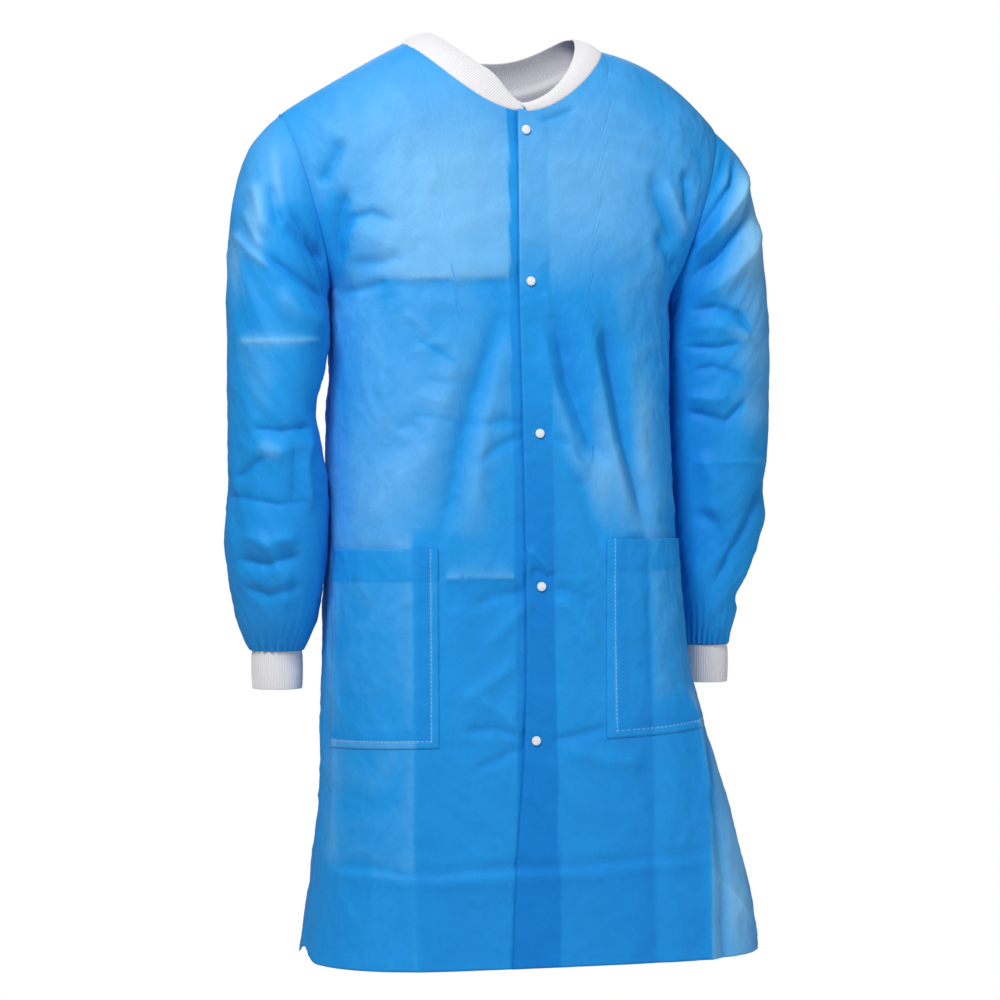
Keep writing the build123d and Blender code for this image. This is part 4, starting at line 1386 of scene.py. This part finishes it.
@dataclass(frozen=True)
class Sleeve:
    """A sleeve from the armhole to the cuff, gathered at the wrist, and its ribbed cuff."""

    side: Side
    cloth: BodyCloth
    wardrobe: Wardrobe
    drape: Drape
    rings: tuple[tuple[tuple[float, float], tuple[float, float], float, float], ...]
    rows: int = 232
    columns: int = 150
    thickness: float = 0.0006
    gathers: int = 26
    cuff_centre: tuple[float, float] = (0.262, 0.020)
    cuff_radius: float = 0.0278
    cuff_top_z: float = -0.697
    cuff_bottom_z: float = -0.749
    ribs: int = 66
    flat: tuple[float, float] = (0.50, 0.64)
    bend_start: tuple[float, float] = (0.2345, -0.1895)
    bend_along: tuple[float, float] = (0.961, -0.2766)
    bend_length: float = 0.034

    def ring_points(self, angle: np.ndarray) -> np.ndarray:
        """Points of every ring: the armhole's own curve, then tilted ellipses down the arm."""
        form, s = self.cloth.form, self.side.value
        tip_z, pit_z = form.tip[1], form.armpit[1]
        z = (tip_z + pit_z) / 2 + (tip_z - pit_z) / 2 * np.cos(angle)
        x = s * form.armhole_x(z)
        y = np.where(angle > 0, form.back_y(x, z), form.front_y(x, z))
        tuck = np.array([s * -0.961, 0.0, 0.2766]) * 0.0022
        rings = [np.stack([x, y * 0.985, z], axis=-1) + tuck]
        for (xi, zi), (xo, zo), depth, middle in self.rings:
            cx, cz, hx, hz = (xi + xo) / 2, (zi + zo) / 2, (xo - xi) / 2, (zo - zi) / 2
            ring = np.stack([s * (cx + hx * np.cos(angle)), middle + depth * np.sin(angle),
                             cz + hz * np.cos(angle)], axis=-1)
            rings.append(ring * MM)
        return np.array(rings)

    def build(self) -> list[bpy.types.Object]:
        """Makes the sleeve and the cuff."""
        side, word = self.side, self.side.word
        angle = np.linspace(-np.pi, np.pi, self.columns, endpoint=False)
        rings = self.ring_points(angle)
        spans = np.linalg.norm(np.diff(rings.mean(axis=1), axis=0), axis=1)
        knots = np.concatenate([[0.0], np.cumsum(spans)])
        run = np.linspace(0.0, knots[-1], self.rows)
        base = cubic_through(knots, rings, run)
        normal = grid_normals(base)
        centre = base.mean(axis=1, keepdims=True)
        normal *= np.sign(np.sum(normal * (base - centre)))
        around = angle[None, :] * 0.06 + 0.0 * run[:, None]
        x, z = base[..., 0], base[..., 2]
        in_front = smooth_step((0.2 - np.sin(angle)[None, :]) / 0.4)
        lift = self.drape.facet_height * crumple(np.sin(angle)[None, :] * 0.06 + 0 * around,
                                                 run[:, None] + 0.05 * np.cos(angle)[None, :],
                                                 self.drape.facet, self.drape.seed)
        for fold in self.drape.folds:
            front, rear = fold.lift(x, z), fold.lift(x, z + 0.02)
            lift = lift + self.drape.gain * (front * in_front + 0.8 * rear * (1 - in_front))
        quiet = smooth_step(run / 0.016)[:, None] * smooth_step((knots[-1] - run) / 0.030)[:, None]
        left = (knots[-1] - run)[:, None]
        gather = np.sin(self.gathers * angle[None, :] + 1.7 * np.sin(3 * angle[None, :]) + 40 * left)
        gathered = 0.0023 * gather * np.exp(-left / 0.022) * smooth_step(left / 0.004 + 0.3)
        lift = lift * quiet + gathered - self.cloth.seam_groove * np.exp(-run / 0.0035)[:, None]
        points = base + normal * lift[..., None]
        turned = rings[-1] - rings[-1].mean(axis=0)
        tucked = points[-1] - turned * 0.07 + np.array([0, 0, 0.004])
        points = np.concatenate([points, tucked[None]], axis=0)
        x, z = points[..., 0], points[..., 2]
        # The sleeve's colour is all painted light and shade: shadowed inner sides, highlit tops, and the folds' shade
        # and highlight.
        layers_and_shade = painted_shading(SLEEVE_SHADE_SPOTS, x, z) + self.drape.tint(x, z, 0.06 * np.sin(angle)[None, :] + 0 * x)
        name = f"{word}_sleeve_cloth"
        away = points - points.mean(axis=1, keepdims=True)
        sleeve = SheetMesh(name, points, wrap_columns=True, layers_and_shade=layers_and_shade).build(away)
        thicken(sleeve, self.thickness)
        sleeve.data.materials.append(self.wardrobe.cloth.material)
        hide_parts(f"{word}_sleeve")
        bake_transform(sleeve)
        return [sleeve, self.cuff()]

    def cuff(self) -> bpy.types.Object:
        """Makes the cuff: a tube whose wall is a flat oval in section, with ribs along the arm."""
        side, word = self.side, self.side.word
        turn = np.linspace(0.0, 2 * np.pi, self.ribs * 7, endpoint=False)
        loop = np.linspace(0.0, 2 * np.pi, 44, endpoint=False)
        tall = self.cuff_top_z - self.cuff_bottom_z
        z = self.cuff_top_z - tall * (1 - np.cos(loop)) / 2
        wall = 0.0011 * np.sign(np.sin(loop)) * np.abs(np.sin(loop)) ** 0.4
        down = (self.cuff_top_z - z) / tall
        shape = self.cuff_radius + 0.0006 * np.sin(np.pi * down) - 0.0016 * smooth_step((0.3 - down) / 0.3)
        rib = np.abs(np.sin(turn * self.ribs / 2)) ** 0.8
        radius = shape[:, None] + wall[:, None] + 0.00065 * (rib[None, :] - 0.5) * np.sign(wall)[:, None]
        wave = 0.0009 * np.sin(3 * turn + 1.0)[None, :] * down[:, None]
        cx, cy = self.cuff_centre
        points = np.stack([side.value * cx + (radius + wave) * np.cos(turn)[None, :],
                           cy + (radius - wave) * np.sin(turn)[None, :],
                           np.repeat(z[:, None], len(turn), axis=1)], axis=-1)
        cuff = SheetMesh(f"{word}_cuff_knit", points, wrap_rows=True, wrap_columns=True).build(
            wall[:, None, None] * np.stack([np.cos(turn), np.sin(turn), 0 * turn], axis=-1)[None])
        cuff.data.materials.append(self.wardrobe.knit.material)
        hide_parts(f"{word}_cuff")
        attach(cuff, side.arm)
        return cuff


# ------------------------------------------------------------------ collar


@dataclass(frozen=True)
class Collar:
    """The ribbed collar along the neckline: a left and a right front part, and one round the back."""

    form: CoatForm
    wardrobe: Wardrobe
    width: float = 0.035
    tip_width: float = 0.009
    thickness: float = 0.0024
    rib_pitch: float = 0.0027
    tuck: float = 0.003
    back_tuck: float = 0.024

    def front_line(self, side: Side, count: int) -> tuple[np.ndarray, np.ndarray, np.ndarray]:
        """Seam points, leaning directions and widths from the bottom of the V to a neck point."""
        form, s = self.form, side.value
        start = float(form.snap_line.at(np.array([form.v_bottom_z]))[0]) + s * 0.001
        x = np.linspace(start, s * form.neck_x, count * 4)
        z = form.neck_z(x, side)
        y = form.front_y(x, z) + form.lap(x, z, side)
        seam = np.stack([x, y, z], axis=-1)
        length = run_lengths(seam[:, None], 0)[:, 0]
        even = np.linspace(0, length[-1], count)
        seam = np.stack([np.interp(even, length, seam[:, k]) for k in range(3)], axis=-1)
        reach = np.clip(s * (seam[:, 0] - start) / (form.neck_x - s * start), 0, 1)
        lean = smooth_step(reach)
        d = np.stack([-s * (0.62 + 0.26 * lean), 0.22 + 0.06 * lean, 0.75 - 0.35 * lean], axis=-1)
        full = smooth_step(reach / 0.55) if side is Side.RIGHT else 0.30 * reach + 0.70 * reach ** 2.5
        width = self.tip_width + (self.width - self.tip_width) * full
        return seam, d / np.linalg.norm(d, axis=1, keepdims=True), width

    def back_line(self, count: int) -> tuple[np.ndarray, np.ndarray, np.ndarray]:
        """Seam points, leaning directions and widths round the back, from left to right neck point."""
        form = self.form
        angle = np.linspace(0.0, np.pi, count)
        x = form.neck_x * np.cos(angle)
        z = form.back_neck_z(x)
        seam = np.stack([x, form.back_y(x, z), z], axis=-1)
        lean = np.sin(angle)
        d = np.stack([-0.88 * np.cos(angle), -0.42 * lean + 0.28 * (1 - lean), 0.40 + 0.5 * lean], axis=-1)
        return seam, d / np.linalg.norm(d, axis=1, keepdims=True), np.full(count, self.width)

    def band(self, name: str, seam: np.ndarray, lean: np.ndarray, width: np.ndarray,
             tuck: float) -> bpy.types.Object:
        """Makes one part of the collar.

        Its section is a flat oval from just under the seam to the top edge along the leaning
        direction; ribs of one pitch run across it on both faces.

        Args:
            name: Name of the piece.
            seam: Points along the neckline.
            lean: Direction from the seam to the top edge, at each point.
            width: Width of the band, at each point.
            tuck: How far it reaches down inside the seam.

        Returns:
            The new object.
        """
        ahead = np.gradient(seam, axis=0)
        side = np.cross(ahead, lean)
        side /= np.linalg.norm(side, axis=1, keepdims=True)
        length = run_lengths(seam[:, None], 0)[:, 0]
        loop = np.linspace(0.0, 2 * np.pi, 48, endpoint=False)
        up = (1 - np.cos(loop)) / 2
        face = np.sign(np.sin(loop)) * np.abs(np.sin(loop)) ** 0.35
        rib = np.abs(np.sin(np.pi * length / self.rib_pitch)) ** 0.8
        half = self.thickness / 2 * face[None, :] * np.minimum(1.0, width / 0.02)[:, None] ** 0.5
        half = half + 0.0006 * (rib[:, None] - 0.5) * face[None, :] * (0.3 + 0.7 * np.sin(np.pi * up) ** 0.3)[None, :]
        reach = up[None, :] * (width[:, None] + tuck) - tuck
        crown = 0.0022 * np.sin(np.pi * np.clip(reach / width[:, None], 0, 1)) * (width[:, None] / self.width)
        crown = crown - 0.0042 * smooth_step(-reach / 0.008)
        points = (seam[:, None] + lean[:, None] * reach[..., None]
                  + side[:, None] * (half + crown * self.outer_sign(seam, side))[..., None])
        middle = points.mean(axis=1, keepdims=True)
        closed = np.broadcast_to(middle, points.shape)
        points = np.concatenate([closed[:1], points, closed[-1:]], axis=0)
        away = points - points.mean(axis=1, keepdims=True)
        band = SheetMesh(name, points, wrap_columns=True).build(away)
        band.data.materials.append(self.wardrobe.knit.material)
        return band

    def outer_sign(self, seam: np.ndarray, side: np.ndarray) -> float:
        """Whether the band's side direction points away from the neck (1) or towards it (-1)."""
        neck = np.array([0.0, 0.0, seam[:, 2].mean() - 0.02])
        return float(np.sign(np.sum(side * (seam - neck))))

    def build(self) -> list[bpy.types.Object]:
        """Makes the three parts of the collar."""
        pieces = []
        for side in (Side.LEFT, Side.RIGHT):
            band = self.band(f"collar_{side.word}_knit", *self.front_line(side, 420), self.tuck)
            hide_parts(f"{side.word}_collar_tip")
            new_blend(band, self.form)
            pieces.append(band)
        back = self.band("collar_back_knit", *self.back_line(760), self.back_tuck)
        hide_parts("collar_back")
        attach(back, "torso")
        pieces.append(back)
        return pieces


# ------------------------------------------------------------------ snaps


@dataclass(frozen=True)
class Snaps:
    """The five press snaps: the CAD caps, sockets, studs and back caps in moulded plastic."""

    wardrobe: Wardrobe
    count: int = 5

    def build(self) -> list[bpy.types.Object]:
        """Dresses every snap part."""
        parts = []
        for i in range(1, self.count + 1):
            for kind in ("snap_cap", "snap_socket", "snap_stud", "snap_back_cap"):
                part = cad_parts[f"{kind}_{i}"]
                for place in part.material_slots:
                    place.material = self.wardrobe.snap.material
                parts.append(part)
        return parts


# ------------------------------------------------------------------ studio


@dataclass(frozen=True)
class Studio:
    """Pale floor, soft light from above and in front, and the camera."""

    target: tuple[float, float, float] = (0.0, 0.0, -0.531)
    azimuth: float = -15.0
    distance: float = 3.4
    lens: float = 104.2
    floor_z: float = -1.5
    floor_radius: float = 2.1

    def floor(self) -> bpy.types.Object:
        """Makes the floor: a disc with a slightly uneven pale finish."""
        turn = np.linspace(0.0, 2 * np.pi, 96, endpoint=False)
        radius = np.linspace(0.0, self.floor_radius, 12)
        points = np.stack([radius[:, None] * np.cos(turn), radius[:, None] * np.sin(turn),
                           np.full((12, 96), self.floor_z)], axis=-1)
        away = np.zeros_like(points)
        away[..., 2] = 1.0
        floor = SheetMesh("studio_floor", points, wrap_columns=True).build(away)
        finish = MouldedFinish("pale_floor", (0.93, 0.93, 0.94), 0.75, 60.0, 0.0001, darkest=0.985)
        floor.data.materials.append(finish.material)
        return floor

    def light(self, name: str, place: tuple[float, float, float], aim: tuple[float, float, float],
              size: float, watts: float) -> None:
        """Adds one square soft light that looks from its place at its aim."""
        data = bpy.data.lights.new(name, "AREA")
        data.size, data.energy = size, watts
        lamp = bpy.data.objects.new(name, data)
        lamp.location = place
        lamp.rotation_euler = (Vector(place) - Vector(aim)).to_track_quat("Z", "Y").to_euler()
        bpy.context.scene.collection.objects.link(lamp)

    def world(self) -> None:
        """White surroundings for the camera, and a softer white as light."""
        world = bpy.data.worlds.new("white_studio")
        world.use_nodes = True
        nodes, links = world.node_tree.nodes, world.node_tree.links
        nodes.clear()
        seen = nodes.new("ShaderNodeLightPath")
        seen.label, seen.location = "seen directly or not", (-400, 200)
        shown = nodes.new("ShaderNodeBackground")
        shown.label, shown.location = "white backdrop", (-400, -150)
        shown.inputs["Color"].default_value = (1.0, 1.0, 1.0, 1.0)
        shown.inputs["Strength"].default_value = 1.0
        lit = nodes.new("ShaderNodeBackground")
        lit.label, lit.location = "soft surrounding light", (-400, 0)
        lit.inputs["Color"].default_value = (0.93, 0.97, 1.0, 1.0)
        lit.inputs["Strength"].default_value = 0.20
        mix = nodes.new("ShaderNodeMixShader")
        mix.label, mix.location = "backdrop or light", (-100, 0)
        output = nodes.new("ShaderNodeOutputWorld")
        output.label, output.location = "world out", (150, 0)
        links.new(seen.outputs["Is Camera Ray"], mix.inputs["Fac"])
        links.new(lit.outputs["Background"], mix.inputs[1])
        links.new(shown.outputs["Background"], mix.inputs[2])
        links.new(mix.outputs["Shader"], output.inputs["Surface"])
        bpy.context.scene.world = world

    def camera(self) -> None:
        """Sets up the camera, level with the middle of the coat."""
        data = bpy.data.cameras.new("studio_camera")
        data.lens, data.sensor_width, data.clip_end = self.lens, 36.0, 50.0
        camera = bpy.data.objects.new("studio_camera", data)
        turn = math.radians(self.azimuth)
        back = Vector((math.sin(turn), -math.cos(turn), 0.0))
        camera.location = Vector(self.target) + self.distance * back
        camera.rotation_euler = back.to_track_quat("Z", "Y").to_euler()
        bpy.context.scene.collection.objects.link(camera)
        bpy.context.scene.camera = camera

    def build(self) -> list[bpy.types.Object]:
        """Makes the floor, the lights, the surroundings and the camera."""
        self.light("key_light", (-1.3, -1.7, 1.5), (0.0, 0.0, -0.45), 0.9, 72.0)
        self.light("fill_light", (1.9, -2.6, -0.2), (0.0, 0.0, -0.6), 1.6, 22.0)
        self.light("rim_light", (0.6, 2.6, 1.2), (0.0, 0.0, -0.4), 1.8, 40.0)
        self.world()
        self.camera()
        bpy.context.scene.view_settings.view_transform = "Standard"
        return [self.floor()]


# ------------------------------------------------------------------ the whole coat


LEFT_RINGS = (
    ((208.5, -302), (297, -124), 65, 5), ((207.5, -318), (316, -186), 68, 6), ((207, -346), (329, -262), 70, 8),
    ((207, -392), (334, -348), 69, 10), ((208, -450), (334, -432), 66, 12), ((210, -520), (330, -514), 66, 15),
    ((214, -590), (315, -590), 64, 18), ((219, -640), (301, -640), 56, 20), ((226, -678), (293, -678), 43, 20),
    ((228, -693), (289, -693), 35, 20), ((230, -704), (287, -704), 30, 20),
)
RIGHT_RINGS = (
    ((208.5, -302), (295, -124), 65, 2), ((207.5, -318), (315, -186), 68, -2), ((207, -346), (323, -262), 70, -6),
    ((214, -386), (324, -348), 69, -9), ((224, -432), (323, -428), 66, -10), ((211, -500), (323, -500), 66, -8),
    ((208.5, -590), (325, -590), 66, -2), ((213, -640), (317, -640), 60, 6), ((222, -680), (305, -680), 46, 14),
    ((228, -695), (298, -695), 36, 18), ((233, -705), (291, -705), 30, 20),
)


def main() -> None:
    """Builds and dresses the coat piece by piece."""
    logging.basicConfig(level=logging.INFO, format="%(message)s")
    wardrobe = Wardrobe()
    form = CoatForm()
    cloth = BodyCloth(form, Drape(FRONT_FOLDS), Drape(BACK_FOLDS, 0.11, 0.0032, 23))
    left_sleeve = Drape(LEFT_SLEEVE_FOLDS, 0.06, 0.0022, 61)
    right_sleeve = Drape(RIGHT_SLEEVE_FOLDS, 0.06, 0.0022, 83)
    builders = (
        Collar(form, wardrobe),
        BackPanel(cloth, wardrobe),
        FrontPanel(Side.LEFT, cloth, wardrobe),
        FrontPanel(Side.RIGHT, cloth, wardrobe),
        Pocket(Side.LEFT, cloth, wardrobe, (0.098, 0.093), -0.576, (-0.804, -0.794)),
        Pocket(Side.RIGHT, cloth, wardrobe, (0.101, 0.103), -0.587, (-0.811, -0.814)),
        Sleeve(Side.LEFT, cloth, wardrobe, left_sleeve, LEFT_RINGS, cuff_centre=(0.2585, 0.020)),
        Sleeve(Side.RIGHT, cloth, wardrobe, right_sleeve, RIGHT_RINGS),
        Snaps(wardrobe),
        Studio(),
    )
    for builder in builders:
        for piece in builder.build():
            LOG.info("%s: %d faces", piece.name, len(piece.data.polygons))


if __name__ == "__main__":
    main()
